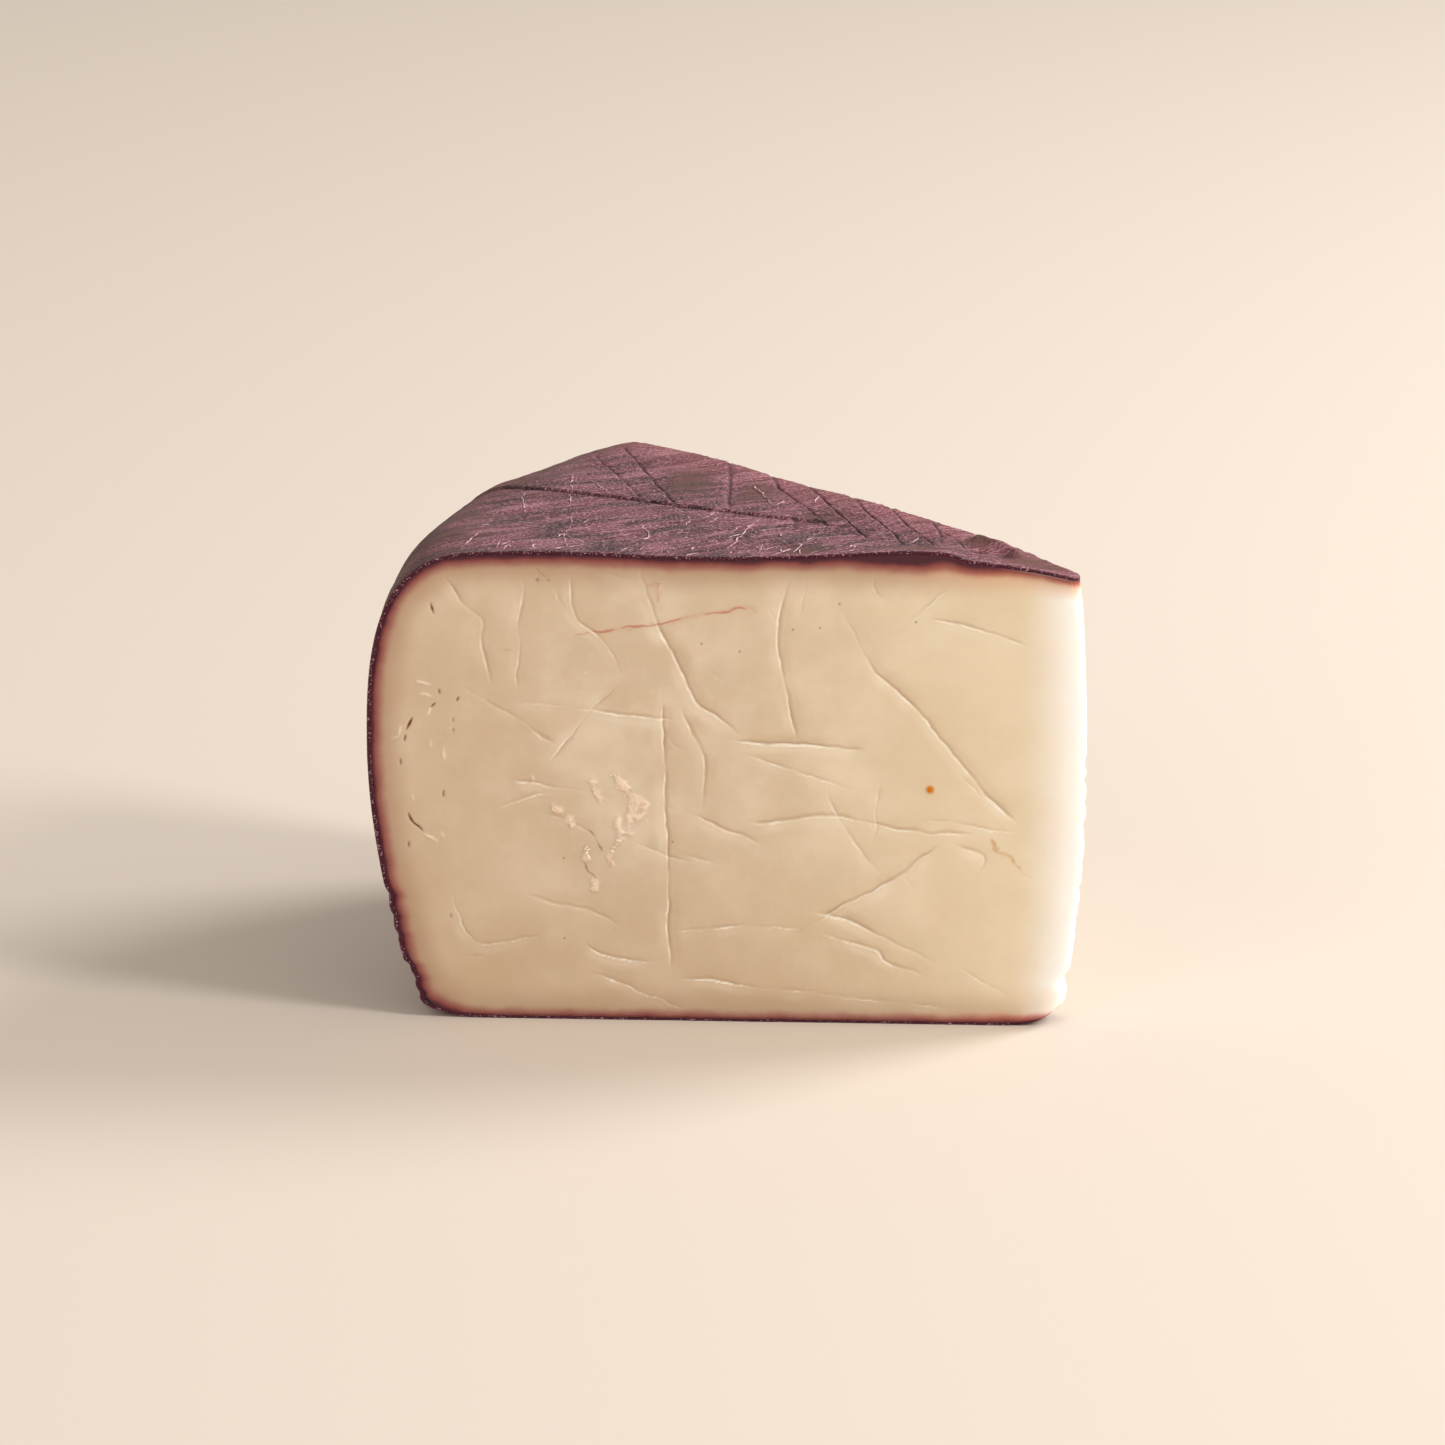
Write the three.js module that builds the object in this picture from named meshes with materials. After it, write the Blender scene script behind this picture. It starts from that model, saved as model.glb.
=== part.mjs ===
// A wedge of wine-soaked goat cheese: a slice of a small wheel with a dark purple rind.
//
// Millimetres, +Z up. The long cut face looks along -Y, the thin end of the wedge points
// along +X and the curved rind is on the -X side. The origin is the middle of the
// bounding box, on the surface that the wedge stands on.
//
// The wedge is one solid. It starts as a box of small squares, which is bent into a slice
// of a wheel, and the folds of the rind and the worn edges are then pressed into it. Until
// it is centred at the end, its sharp corner is at x = y = 0 and its front cut is y = 0.

import * as THREE from 'three';
import { mergeVertices } from 'three/addons/utils/BufferGeometryUtils.js';

// The wheel that the wedge was cut from. The two cuts meet a little off its middle, which
// lies this far along the front cut and behind it, seen from the wedge's sharp corner.
const WHEEL_RADIUS = 95;
const WHEEL_HEIGHT = 65.3;
const WHEEL_MIDDLE = new THREE.Vector2(-2.5, 7.1);
const SLICE_ANGLE = THREE.MathUtils.degToRad(43.8);

// The rind's side, seen where the knife went through it: widest at the belly, drawn in
// towards the foot, with a broad round shoulder above. The shares say how much of the way
// up the grid the foot and the side take.
const BELLY_HEIGHT = 38;
const SHOULDER_DEPTH = 16;
const SHOULDER_POWER = 2.8;
const FOOT_TAPER = 6;
const TAPER_POWER = 1.8;
const FOOT_HEIGHT = 3.2;
const FOOT_DEPTH = 10;
const FOOT_SHARE = 0.2;
const SIDE_SHARE = 0.55;

// The thin end, where the two cuts meet in a blunt, worn edge.
const NOSE_RADIUS = 1.4;
const NOSE_GAP = NOSE_RADIUS / Math.sin(SLICE_ANGLE / 2) - NOSE_RADIUS;
const NOSE_REACH = 16;
const NOSE_BULGE = { out: 1.6, height: 34 };
const NOSE_HOLLOW = { top: 1.5, foot: 3.0 };
const NOSE_FOOT_RADIUS = 3;
const NOSE_LIFT = { height: 1.3, reach: 11, fade: 8 };
const NOSE_DROOP = { depth: 2.3, reach: 19, power: 1.3 };
const NOSE_NICK = { height: 6.2, depth: 0.8, spread: 1.1 };

// Squares along the cut from thin end to rind, across from cut to cut, and up the side.
const STEPS_ALONG = 44;
const STEPS_ACROSS = 34;
const STEPS_UP = 16;

// Each fold of the rind is a line on the top face. Its points give the distance from the
// sharp corner of the wedge along the front cut, and the distance behind that cut.
const FOLDS = [
  {
    name: 'midrib',
    depth: 0.9,
    width: 1.3,
    points: [[81, 35.5], [70, 31.2], [59, 27.2], [50, 23.8], [42.5, 20.5]],
  },
  { name: 'midrib end', depth: 0.6, width: 1.2, points: [[36, 16.6], [33, 13], [27, 7.3], [20, 3.6]] },
  { name: 'vein 1', depth: 0.5, width: 1.2, points: [[70, 54], [66, 43], [61.6, 28]] },
  { name: 'vein 2', depth: 0.6, width: 1.2, points: [[66, 58], [61, 41], [57, 26]] },
  { name: 'vein 3', depth: 0.5, width: 1.1, points: [[51, 49], [50.1, 38], [50, 31], [49.6, 25]] },
  {
    name: 'vein 4',
    depth: 0.8,
    width: 1.3,
    points: [[45, 43], [43.2, 37], [41, 31], [38.4, 24], [36.2, 17.2]],
  },
  { name: 'vein 5', depth: 0.8, width: 1.3, points: [[39.5, 38], [37.3, 32], [34.2, 21.8], [30.5, 11]] },
  { name: 'vein 6', depth: 0.8, width: 1.3, points: [[33.5, 32], [31, 25], [27.6, 15], [25, 6.3]] },
  { name: 'vein 7', depth: 0.7, width: 1.2, points: [[27, 25.5], [25, 17.6], [20.8, 6]] },
];
const FOLD_SAMPLES = 24;
const FOLD_FADE = 9;

// The overlap beside the midrib stands a little proud of the rind in front of it.
const OVERLAP = { height: 0.7, reach: 9, rise: 1.5 };

// A curled scrap of rind near the thin end, over a small pit.
const CURL = { from: [16.5, 11.5], to: [10, 5.5], height: 1.0, width: 1.1 };
const PIT = { at: [15.5, 6.6], depth: 1.3, spread: 1.5 };

// The rind's edge stands up above the front cut, and drops again towards the thin end.
const LIFTED_EDGE = { crest: 20.3, height: 0.8, rise: 19, fall: 3.8, reach: 6 };

// The top sags along the back cut near the thin end, and is full further on.
const BACK_SAG = { depth: 0.7, reach: 4, start: 49, full: 20 };
const BACK_CROWN = { height: 0.6, at: 72, spread: 12 };

// Where the rind's lower edge has flaked off beside the front cut.
const FLAKE = { height: 8.2, edge: 0.8, depth: 0.7, angle: THREE.MathUtils.degToRad(5) };

// Slow unevenness of the rind, as a wheel keeps from its cloth and mould.
const SWELL_TOP = { height: 0.25, length: 6.6, width: 8.8, skew: 0.6 };
const SWELL_SIDE = { depth: 0.35, length: 5.8, height: 10.5, from: 4, to: 14 };
const RIM_POWER = 6;

const { clamp, lerp, smoothstep } = THREE.MathUtils;

function bump(distance, width) {
  return Math.exp(-((distance / width) ** 2));
}

// Height and distance from the wheel's axis at a share of the way up the rind's side.
function rindSection(share) {
  const footTop = WHEEL_RADIUS - FOOT_TAPER;
  if (share < FOOT_SHARE) {
    const turn = (share / FOOT_SHARE) * (Math.PI / 2);
    const inner = footTop - FOOT_DEPTH;
    return { radius: inner + FOOT_DEPTH * Math.sin(turn), height: FOOT_HEIGHT * (1 - Math.cos(turn)) };
  }
  if (share < SIDE_SHARE) {
    const rise = (share - FOOT_SHARE) / (SIDE_SHARE - FOOT_SHARE);
    const drawnIn = FOOT_TAPER * (1 - rise) ** TAPER_POWER;
    return { radius: WHEEL_RADIUS - drawnIn, height: lerp(FOOT_HEIGHT, BELLY_HEIGHT, rise) };
  }
  const turn = ((share - SIDE_SHARE) / (1 - SIDE_SHARE)) * (Math.PI / 2);
  const inner = WHEEL_RADIUS - SHOULDER_DEPTH;
  const power = 2 / SHOULDER_POWER;
  return {
    radius: inner + SHOULDER_DEPTH * Math.max(Math.cos(turn), 0) ** power,
    height: BELLY_HEIGHT + (WHEEL_HEIGHT - BELLY_HEIGHT) * Math.sin(turn) ** power,
  };
}

// Where a line from the sharp corner, at an angle behind the front cut, meets a circle
// round the wheel's middle.
function rimPoint(radius, angle) {
  const direction = new THREE.Vector2(-Math.cos(angle), Math.sin(angle));
  const abreast = direction.dot(WHEEL_MIDDLE);
  const reach = abreast + Math.sqrt(abreast ** 2 - WHEEL_MIDDLE.lengthSq() + radius ** 2);
  return direction.multiplyScalar(reach);
}

// A point of the blunt thin end, at a share of the way round it from front cut to back cut.
function nosePoint(share) {
  const half = SLICE_ANGLE / 2;
  const centre = NOSE_RADIUS / Math.sin(half);
  const turn = -Math.PI / 2 + share * (Math.PI - SLICE_ANGLE);
  return new THREE.Vector2(
    -centre * Math.cos(half) + NOSE_RADIUS * Math.cos(turn),
    centre * Math.sin(half) + NOSE_RADIUS * Math.sin(turn),
  );
}

// The plain slice: along runs from thin end to rind, across from front to back cut, up from foot to top.
function slicePoint(along, across, up) {
  const section = rindSection(up);
  const rim = rimPoint(section.radius, SLICE_ANGLE * across);
  const plan = nosePoint(across).lerp(rim, along);
  return new THREE.Vector3(plan.x, plan.y, section.height);
}

const foldLines = FOLDS.map((fold) => {
  const points = fold.points.map(([along, behind]) => new THREE.Vector2(-along, behind));
  return { ...fold, line: new THREE.SplineCurve(points).getSpacedPoints(FOLD_SAMPLES) };
});

function distanceToLine(point, line) {
  return Math.min(...line.map((sample) => sample.distanceTo(point)));
}

// How far a point lies behind the midrib, negative in front of it. The midrib's points run
// from the rind towards the thin end.
function behindMidrib(point, midrib) {
  const distances = midrib.map((sample) => sample.distanceTo(point));
  const nearest = clamp(distances.indexOf(Math.min(...distances)), 1, FOLD_SAMPLES);
  const forward = midrib[nearest].clone().sub(midrib[nearest - 1]).normalize();
  return forward.cross(point.clone().sub(midrib[nearest]));
}

// How much of the lifted edge there is over a place on the front cut.
function liftedShare(fromCorner) {
  const { crest, rise, fall } = LIFTED_EDGE;
  if (fromCorner > crest) return 1 - smoothstep(fromCorner, crest, crest + rise);
  return smoothstep(fromCorner, crest - fall, crest);
}

// Height that the back cut's worn edge adds to the top face.
function backEdgeHeight(x, y) {
  const fromCorner = Math.hypot(x, y);
  const fromBackCut = -(x * Math.sin(SLICE_ANGLE) + y * Math.cos(SLICE_ANGLE));
  const sag = BACK_SAG.depth * (1 - smoothstep(fromCorner, BACK_SAG.full, BACK_SAG.start));
  const crown = BACK_CROWN.height * bump(fromCorner - BACK_CROWN.at, BACK_CROWN.spread);
  return (crown - sag) * bump(fromBackCut, BACK_SAG.reach);
}

// Height that the folds, the worn edges and the curled scrap add to the top face.
function topRelief(x, y) {
  const point = new THREE.Vector2(x, y);
  const swell = Math.sin((x + SWELL_TOP.skew * y) / SWELL_TOP.length) * Math.cos(y / SWELL_TOP.width);
  let height = SWELL_TOP.height * swell;
  for (const fold of foldLines) height -= fold.depth * bump(distanceToLine(point, fold.line), fold.width);
  const midrib = foldLines[0].line;
  const beside = bump(distanceToLine(point, midrib), OVERLAP.reach);
  height += OVERLAP.height * beside * smoothstep(behindMidrib(point, midrib), 0, OVERLAP.rise);
  const curl = new THREE.Line3(
    new THREE.Vector3(-CURL.from[0], CURL.from[1], 0),
    new THREE.Vector3(-CURL.to[0], CURL.to[1], 0),
  );
  const flat = new THREE.Vector3(x, y, 0);
  const onCurl = curl.closestPointToPoint(flat, true, new THREE.Vector3());
  height += CURL.height * bump(onCurl.distanceTo(flat), CURL.width);
  height -= PIT.depth * bump(Math.hypot(x + PIT.at[0], y - PIT.at[1]), PIT.spread);
  height += LIFTED_EDGE.height * liftedShare(-x) * bump(y, LIFTED_EDGE.reach);
  return height + backEdgeHeight(x, y);
}

// How far the worn thin end stands out past the plain slice's own, at a height.
function noseShift(height) {
  const away = (height - NOSE_BULGE.height) / (WHEEL_HEIGHT - NOSE_BULGE.height);
  const hollow = away > 0 ? NOSE_HOLLOW.top : NOSE_HOLLOW.foot;
  const under = clamp(1 - height / NOSE_FOOT_RADIUS, 0, 1);
  const foot = NOSE_FOOT_RADIUS * (1 - Math.sqrt(1 - under * under));
  const nick = NOSE_NICK.depth * bump(height - NOSE_NICK.height, NOSE_NICK.spread);
  return NOSE_BULGE.out - hollow * away * away - foot - nick;
}

// How far the rind's side stands out from the plain slice's, by its swell and its flaked edge.
function sideShift(fromCorner, angle, height) {
  const swell = Math.sin(fromCorner * angle / SWELL_SIDE.length) * Math.sin(height / SWELL_SIDE.height);
  const below = smoothstep(height, SWELL_SIDE.from, SWELL_SIDE.to);
  const flaked = (1 - smoothstep(height, FLAKE.height - FLAKE.edge, FLAKE.height))
    * smoothstep(height, 0, FOOT_HEIGHT) * (1 - smoothstep(angle, 0, FLAKE.angle));
  return SWELL_SIDE.depth * swell * below - FLAKE.depth * flaked;
}

// Presses the wear, the folds and the unevenness into the plain slice.
function weatherPoint(point) {
  const { x, y, z } = point;
  const fromCorner = Math.hypot(x, y);
  const nearNose = clamp(1 - (fromCorner - NOSE_GAP) / NOSE_REACH, 0, 1) ** 2;
  const high = smoothstep(z, WHEEL_HEIGHT - FOLD_FADE, WHEEL_HEIGHT);
  const low = 1 - smoothstep(z, 0, NOSE_LIFT.fade);
  const droop = NOSE_DROOP.depth * clamp(1 - fromCorner / NOSE_DROOP.reach, 0, 1) ** NOSE_DROOP.power;
  const lift = NOSE_LIFT.height * clamp(1 - fromCorner / NOSE_LIFT.reach, 0, 1) ** 2;

  const atRim = (1 - high) * (fromCorner / WHEEL_RADIUS) ** RIM_POWER;
  const outward = sideShift(fromCorner, Math.atan2(y, -x), z) * atRim;
  const stretch = 1 + (outward - noseShift(z) * nearNose) / fromCorner;
  const raised = z + high * (topRelief(x, y) - droop) + low * lift;
  return new THREE.Vector3(x * stretch, y * stretch, raised);
}

function wedgeGeometry() {
  const box = new THREE.BoxGeometry(1, 1, 1, STEPS_ALONG, STEPS_ACROSS, STEPS_UP);
  box.deleteAttribute('normal');
  box.deleteAttribute('uv');
  // The box is half its size each way round its middle, so this puts its low corner at zero.
  box.translate(0.5, 0.5, 0.5);
  const geometry = mergeVertices(box);
  const position = geometry.getAttribute('position');
  const share = new THREE.Vector3();
  for (let i = 0; i < position.count; i += 1) {
    share.fromBufferAttribute(position, i);
    // The box's +X side becomes the thin end, and its -X side the rind.
    const worn = weatherPoint(slicePoint(1 - share.x, share.y, share.z));
    position.setXYZ(i, worn.x, worn.y, worn.z);
  }
  geometry.computeBoundingBox();
  const { min, max } = geometry.boundingBox;
  geometry.translate(-(min.x + max.x) / 2, -(min.y + max.y) / 2, -min.z);
  geometry.computeVertexNormals();
  return geometry;
}

const cheeseMaterial = new THREE.MeshStandardMaterial({
  name: 'goat cheese with wine rind',
  color: '#e6d2b4',
  roughness: 0.5,
  metalness: 0,
});

const wedge = new THREE.Mesh(wedgeGeometry(), cheeseMaterial);
wedge.name = 'cheese_wedge';

const part = new THREE.Group();
part.add(wedge);

export default part;
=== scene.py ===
# %% [markdown]
# # A wedge of wine-soaked goat cheese
#
# The real thing is a slice of a small wheel. The wheel ripened in red wine, so it has a thin dark
# purple rind, folded and creased like a leaf, and an ivory paste inside. This lesson builds both as
# closed meshes that share one set of formulas: a fine grid is bent into the slice, and every crease
# is then pressed into it.
#
# The wedge's solid is already fixed, so the first step loads it. Places and sizes of the cheese are in
# millimetres here and become metres only when a mesh is made. Materials, lamps and the camera use metres.

# %% The fixed frame
import itertools
import math

import bmesh
import bpy
import numpy as np
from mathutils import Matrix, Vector


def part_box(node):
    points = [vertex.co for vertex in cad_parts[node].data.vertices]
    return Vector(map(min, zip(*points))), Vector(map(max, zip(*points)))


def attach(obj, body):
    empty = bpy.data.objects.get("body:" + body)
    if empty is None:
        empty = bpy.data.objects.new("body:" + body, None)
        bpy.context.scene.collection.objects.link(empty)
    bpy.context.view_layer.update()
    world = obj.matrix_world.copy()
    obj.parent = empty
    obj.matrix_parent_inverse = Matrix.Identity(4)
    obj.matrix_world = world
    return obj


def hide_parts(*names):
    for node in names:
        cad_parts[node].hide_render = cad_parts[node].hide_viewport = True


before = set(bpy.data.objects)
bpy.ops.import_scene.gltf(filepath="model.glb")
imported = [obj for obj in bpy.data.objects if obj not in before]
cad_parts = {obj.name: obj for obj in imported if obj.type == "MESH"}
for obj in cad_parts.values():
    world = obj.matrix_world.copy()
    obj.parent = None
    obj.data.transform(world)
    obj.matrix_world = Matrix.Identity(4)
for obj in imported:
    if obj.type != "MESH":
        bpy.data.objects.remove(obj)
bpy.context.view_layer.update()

MM = 0.001
NODE = "cheese_wedge"
box_low, box_high = (np.array(corner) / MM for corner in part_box(NODE))
print("the solid fills", np.round(box_high - box_low, 1), "mm")

# %% [markdown]
# ## The wheel and the slice
#
# A wheel of cheese is a lathe shape: one outline, turned round an axis. A slice keeps the outline and
# takes only a few degrees of the turn. Writing the outline as a formula, and not as a list of points,
# lets the rind and the paste use the same one at different depths, so that they always fit each other.

# %% Sizes of the wheel, the cut and the rind
WHEEL_RADIUS = 95
WHEEL_HEIGHT = 65.3
WHEEL_MIDDLE = np.array([-2.5, 7.1])
SLICE_ANGLE = math.radians(43.8)

BELLY_HEIGHT = 38
SHOULDER_DEPTH = 16
SHOULDER_POWER = 2.8
FOOT_TAPER = 6
TAPER_POWER = 1.8
FOOT_HEIGHT = 3.2
FOOT_DEPTH = 10

NOSE_RADIUS = 1.4
RIND = {"top": 0.55, "side": 0.7, "foot": 0.4}
HEART = np.array([-60, 24, WHEEL_HEIGHT / 2])
OUTLINE_POINTS = 400


def shares_of(count):
    return np.linspace(0, 1, count)


def outline(inset, count=OUTLINE_POINTS):
    """Radius and height of the wheel's skin from foot to top, pulled in by a share of the rind."""
    top, side, foot = (RIND[place] * inset for place in ("top", "side", "foot"))
    quarter = shares_of(count) * math.pi / 2
    foot_turn = (
        WHEEL_RADIUS - FOOT_TAPER - FOOT_DEPTH + (FOOT_DEPTH - side) * np.sin(quarter),
        FOOT_HEIGHT - (FOOT_HEIGHT - foot) * np.cos(quarter),
    )
    rise = shares_of(count)
    flank = (
        WHEEL_RADIUS - side - FOOT_TAPER * (1 - rise) ** TAPER_POWER,
        FOOT_HEIGHT + (BELLY_HEIGHT - FOOT_HEIGHT) * rise,
    )
    power = 2 / SHOULDER_POWER
    shoulder = (
        WHEEL_RADIUS - SHOULDER_DEPTH + (SHOULDER_DEPTH - side) * np.cos(quarter).clip(0) ** power,
        BELLY_HEIGHT + (WHEEL_HEIGHT - BELLY_HEIGHT - top) * np.sin(quarter) ** power,
    )
    radius = np.concatenate([foot_turn[0], flank[0][1:], shoulder[0][1:]])
    height = np.concatenate([foot_turn[1], flank[1][1:], shoulder[1][1:]])
    return radius, height


def nose_plan(across):
    """Plan of the blunt thin end, from the front cut (0) to the back cut (1), and its outward direction."""
    half = SLICE_ANGLE / 2
    centre = NOSE_RADIUS / math.sin(half)
    turn = across * (math.pi - SLICE_ANGLE) - math.pi / 2
    outward = np.stack([np.cos(turn), np.sin(turn)], axis=1)
    middle = np.array([-centre * math.cos(half), centre * math.sin(half)])
    return middle + NOSE_RADIUS * outward, outward


def slice_places(along, across, radius, height):
    """Places in the slice: along is 0 at the thin end and 1 at the rind, across is 0 at the front cut."""
    angle = SLICE_ANGLE * across
    direction = np.stack([-np.cos(angle), np.sin(angle)], axis=1)
    abreast = direction @ WHEEL_MIDDLE
    rim = direction * (abreast + np.sqrt(abreast**2 - WHEEL_MIDDLE @ WHEEL_MIDDLE + radius**2))[:, None]
    nose, _ = nose_plan(across)
    plan = nose + (rim - nose) * along[:, None]
    return np.column_stack([plan, height])


print("the rind follows an outline of", len(outline(0)[0]), "points")

# %% [markdown]
# ## Steps and noise
#
# A few small helpers do most of the carving. A smooth step fades one thing into another, and a bump
# is highest on a line and dies away beside it. A lattice of random numbers with smooth blending gives
# natural unevenness, the same on every run because its seed is fixed.

# %% Steps, bumps and noise
def smooth_step(value, start, end):
    share = np.clip((value - start) / (end - start), 0, 1)
    return share * share * (3 - 2 * share)


def bump(distance, width):
    return np.exp(-((distance / width) ** 2))


LATTICE = {1: 4096, 2: 256, 3: 64}


def noise(places, size, seed):
    """Smooth random values from -1 to 1 that change over about `size` millimetres."""
    dimensions = places.shape[1]
    table = np.random.default_rng(seed).uniform(-1, 1, (LATTICE[dimensions],) * dimensions)
    cell = places / size
    low = np.floor(cell).astype(int)
    part = cell - low
    part = part * part * (3 - 2 * part)
    total = np.zeros(len(places))
    for corner in itertools.product((0, 1), repeat=dimensions):
        weight = np.prod(np.where(corner, part, 1 - part), axis=1)
        nodes = (low + corner) % LATTICE[dimensions]
        total += weight * table[tuple(nodes.T)]
    return total


def rough(places, size, seed, layers=3):
    """Noise with finer noise on top, each layer half the size and half the strength."""
    return sum(noise(places, size / 2**layer, seed + layer) / 2**layer for layer in range(layers))


# %% [markdown]
# ## Bent lines
#
# Every fold and crease of the cheese is drawn as a few points with a soft curve through them. The
# helpers find how far each place lies from that curve and on which side, because a crease is just
# that distance turned into depth.

# %% Bent lines
def smooth_line(points, pieces=5):
    """A soft curve through given points. Each stretch leans on the points before and after it."""
    points = np.asarray(points, float)
    padded = np.vstack([2 * points[0] - points[1], points, 2 * points[-1] - points[-2]])
    curve = [points[0]]
    for before, start, end, after in zip(padded, padded[1:], padded[2:], padded[3:]):
        for share in shares_of(pieces + 1)[1:]:
            swing = (end - before) * share + (2 * before - 5 * start + 4 * end - after) * share**2
            curve.append(start + (swing + (3 * start - before - 3 * end + after) * share**3) / 2)
    return np.array(curve)


def beside_line(places, line):
    """Distance from a bent line (positive on its left) and the distance to the line's nearer end."""
    steps = np.diff(line, axis=0)
    lengths = np.hypot(*steps.T)
    travelled = np.append(0, np.cumsum(lengths))
    nearest = np.full(len(places), np.inf)
    signed = np.zeros(len(places))
    walked = np.zeros(len(places))
    for start, step, length, before in zip(line, steps, lengths, travelled):
        offset = places - start
        share = np.clip(offset @ step / length**2, 0, 1)
        gap = np.hypot(*(offset - share[:, None] * step).T)
        closer = gap < nearest
        left = np.sign(step[0] * offset[:, 1] - step[1] * offset[:, 0])
        nearest = np.where(closer, gap, nearest)
        signed = np.where(closer, gap * left, signed)
        walked = np.where(closer, before + share * length, walked)
    return signed, np.minimum(walked, travelled[-1] - walked)


def near_line(places, line, reach):
    """Indexes of the places within reach of a line's own box, so that far places cost nothing."""
    low, high = line.min(axis=0) - reach, line.max(axis=0) + reach
    return np.flatnonzero(np.all((places > low) & (places < high), axis=1))


def nearest_of(places, lines, reach=8):
    """Distance from each place to the nearest of many lines, up to the reach."""
    nearest = np.full(len(places), float(reach))
    for points in lines:
        line = smooth_line(points)
        close = near_line(places, line, reach)
        distance, _ = beside_line(places[close], line)
        nearest[close] = np.minimum(nearest[close], np.abs(distance))
    return nearest


# %% [markdown]
# ## The folds of the rind
#
# The rind wrinkled as it dried, in the pattern of a leaf: a midrib with an overlap behind it, and
# veins that run from the back cut towards it. Each fold is a few points, given as the
# distance from the wedge's sharp corner along the front cut and the distance behind that cut. The
# deep ones are in the solid as well.

# %% Folds, creases and the lifted edge
FOLDS = [
    {"depth": 0.4, "width": 0.9, "line": [[81, 35.5], [70, 31.2], [59, 27.2], [50, 23.8], [42.5, 20.5]]},
    {"depth": 0.45, "width": 0.5, "line": [[36, 16.6], [33, 13], [27, 7.3], [20, 3.6]]},
    {"depth": 0.5, "width": 0.6, "line": [[70, 54], [66, 43], [61.6, 28]]},
    {"depth": 0.6, "width": 0.6, "line": [[66, 58], [61, 41], [57, 26]]},
    {"depth": 0.5, "width": 0.5, "line": [[51, 52], [50.1, 38], [50, 31], [49.6, 25]]},
    {"depth": 0.8, "width": 0.7, "line": [[45, 45], [43.2, 37], [41, 31], [38.4, 24], [36.2, 17.2]]},
    {"depth": 0.75, "width": 0.7, "line": [[40, 39.5], [37.3, 32], [34.2, 21.8], [30.5, 11]]},
    {"depth": 0.75, "width": 0.7, "line": [[34, 34.5], [31, 25], [27.6, 15], [25, 6.3]]},
    {"depth": 0.6, "width": 0.6, "line": [[28, 27.5], [25, 17.6], [20.8, 6]]},
    {"depth": 0.45, "width": 0.5, "line": [[21.5, 19.5], [20.7, 14], [20.4, 9]]},
    {"depth": 0.5, "width": 0.5, "line": [[20, 15], [18.4, 11], [17.2, 6.2]]},
    {"depth": 0.35, "width": 0.5, "line": [[40.3, 20], [40.4, 16], [37.3, 12.8], [33, 11.5]]},
]
RIDGES = [
    [[72.4, 44], [71.9, 34], [71.3, 23]],
    [[71.1, 22], [70.6, 15], [71, 9], [70.2, 1.2]],
    [[69, 38], [68, 34.5], [66.5, 30.6]],
    [[47.8, 43], [46.4, 36], [45.1, 31.5], [43.8, 26.6]],
    [[44.6, 22], [46.8, 14], [48.1, 7], [49.2, 3.6]],
    [[36.1, 17], [37.2, 11.5], [39.2, 5], [40.3, 0.6]],
    [[51.6, 24], [52.2, 21], [53.4, 18.4]],
    [[50.9, 20], [52, 17]],
    [[55.2, 20.5], [54.7, 18.5], [55.1, 15]],
    [[56.3, 5], [55.9, 1.9], [56.5, 0.3]],
    [[82.2, 12], [83.4, 7], [84.6, 0.5]],
    [[74.6, 4.5], [75, 0.3]],
    [[78.2, 33], [78.1, 28], [77.6, 23]],
    [[39.3, 3], [39.2, 0.3]],
    [[42.4, 12.2], [42.2, 9.8]],
    [[43.4, 26.5], [42.2, 29.2]],
    [[38.3, 28], [37.5, 32.5]],
    [[61.8, 14.5], [60.2, 12.6], [59.9, 9], [61.5, 8.4]],
]
MIDRIB = FOLDS[0]["line"]
GROOVE = {
    "sharp": 0.5, "width": 0.22, "bank": 0.4, "bank_at": 0.5, "lip": 0.3, "lip_at": 0.7, "lip_width": 0.45,
}
FOLD_WAVER = {"shift": 0.22, "size": 1.7, "seeds": (11, 12)}
FOLD_REACH = 4
OVERLAP = {"height": 0.45, "reach": 9, "rise": 0.4}
CURL = {"line": [[16.2, 11], [13, 9.2], [10, 6.2]], "height": 1.0, "width": 1.1}
PITS = [{"at": (15.5, 6.6), "depth": 1.0, "spread": 1.4}, {"at": (12, 5.6), "depth": 0.5, "spread": 1.8}]
LIFTED_EDGE = {"crest": 20.3, "height": 0.8, "rise": 19, "fall": 3.8, "reach": 6}
BACK_SAG = {"depth": 0.7, "reach": 4, "start": 49, "full": 20}
BACK_CROWN = {"height": 0.6, "at": 72, "spread": 12}
SWELL = {"top": 0.25, "along": 6.6, "behind": 8.8, "lean": 0.6, "side": 0.35, "round": 5.8, "up": 10.5}
print("the top has", len(FOLDS), "folds and", len(RIDGES), "ridges")

# %% [markdown]
# ## The height of the top
#
# A fold of dry skin isn't a plain groove: one side rolls softly into it and the other stands up as a
# small lip. The profile is a formula of the distance from the fold's line, and all folds are added up
# into one height.

# %% The height of the top
def to_back_cut(from_corner, behind):
    """Distance of places on the top from the back cut."""
    return from_corner * math.sin(SLICE_ANGLE) - behind * math.cos(SLICE_ANGLE)


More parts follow.
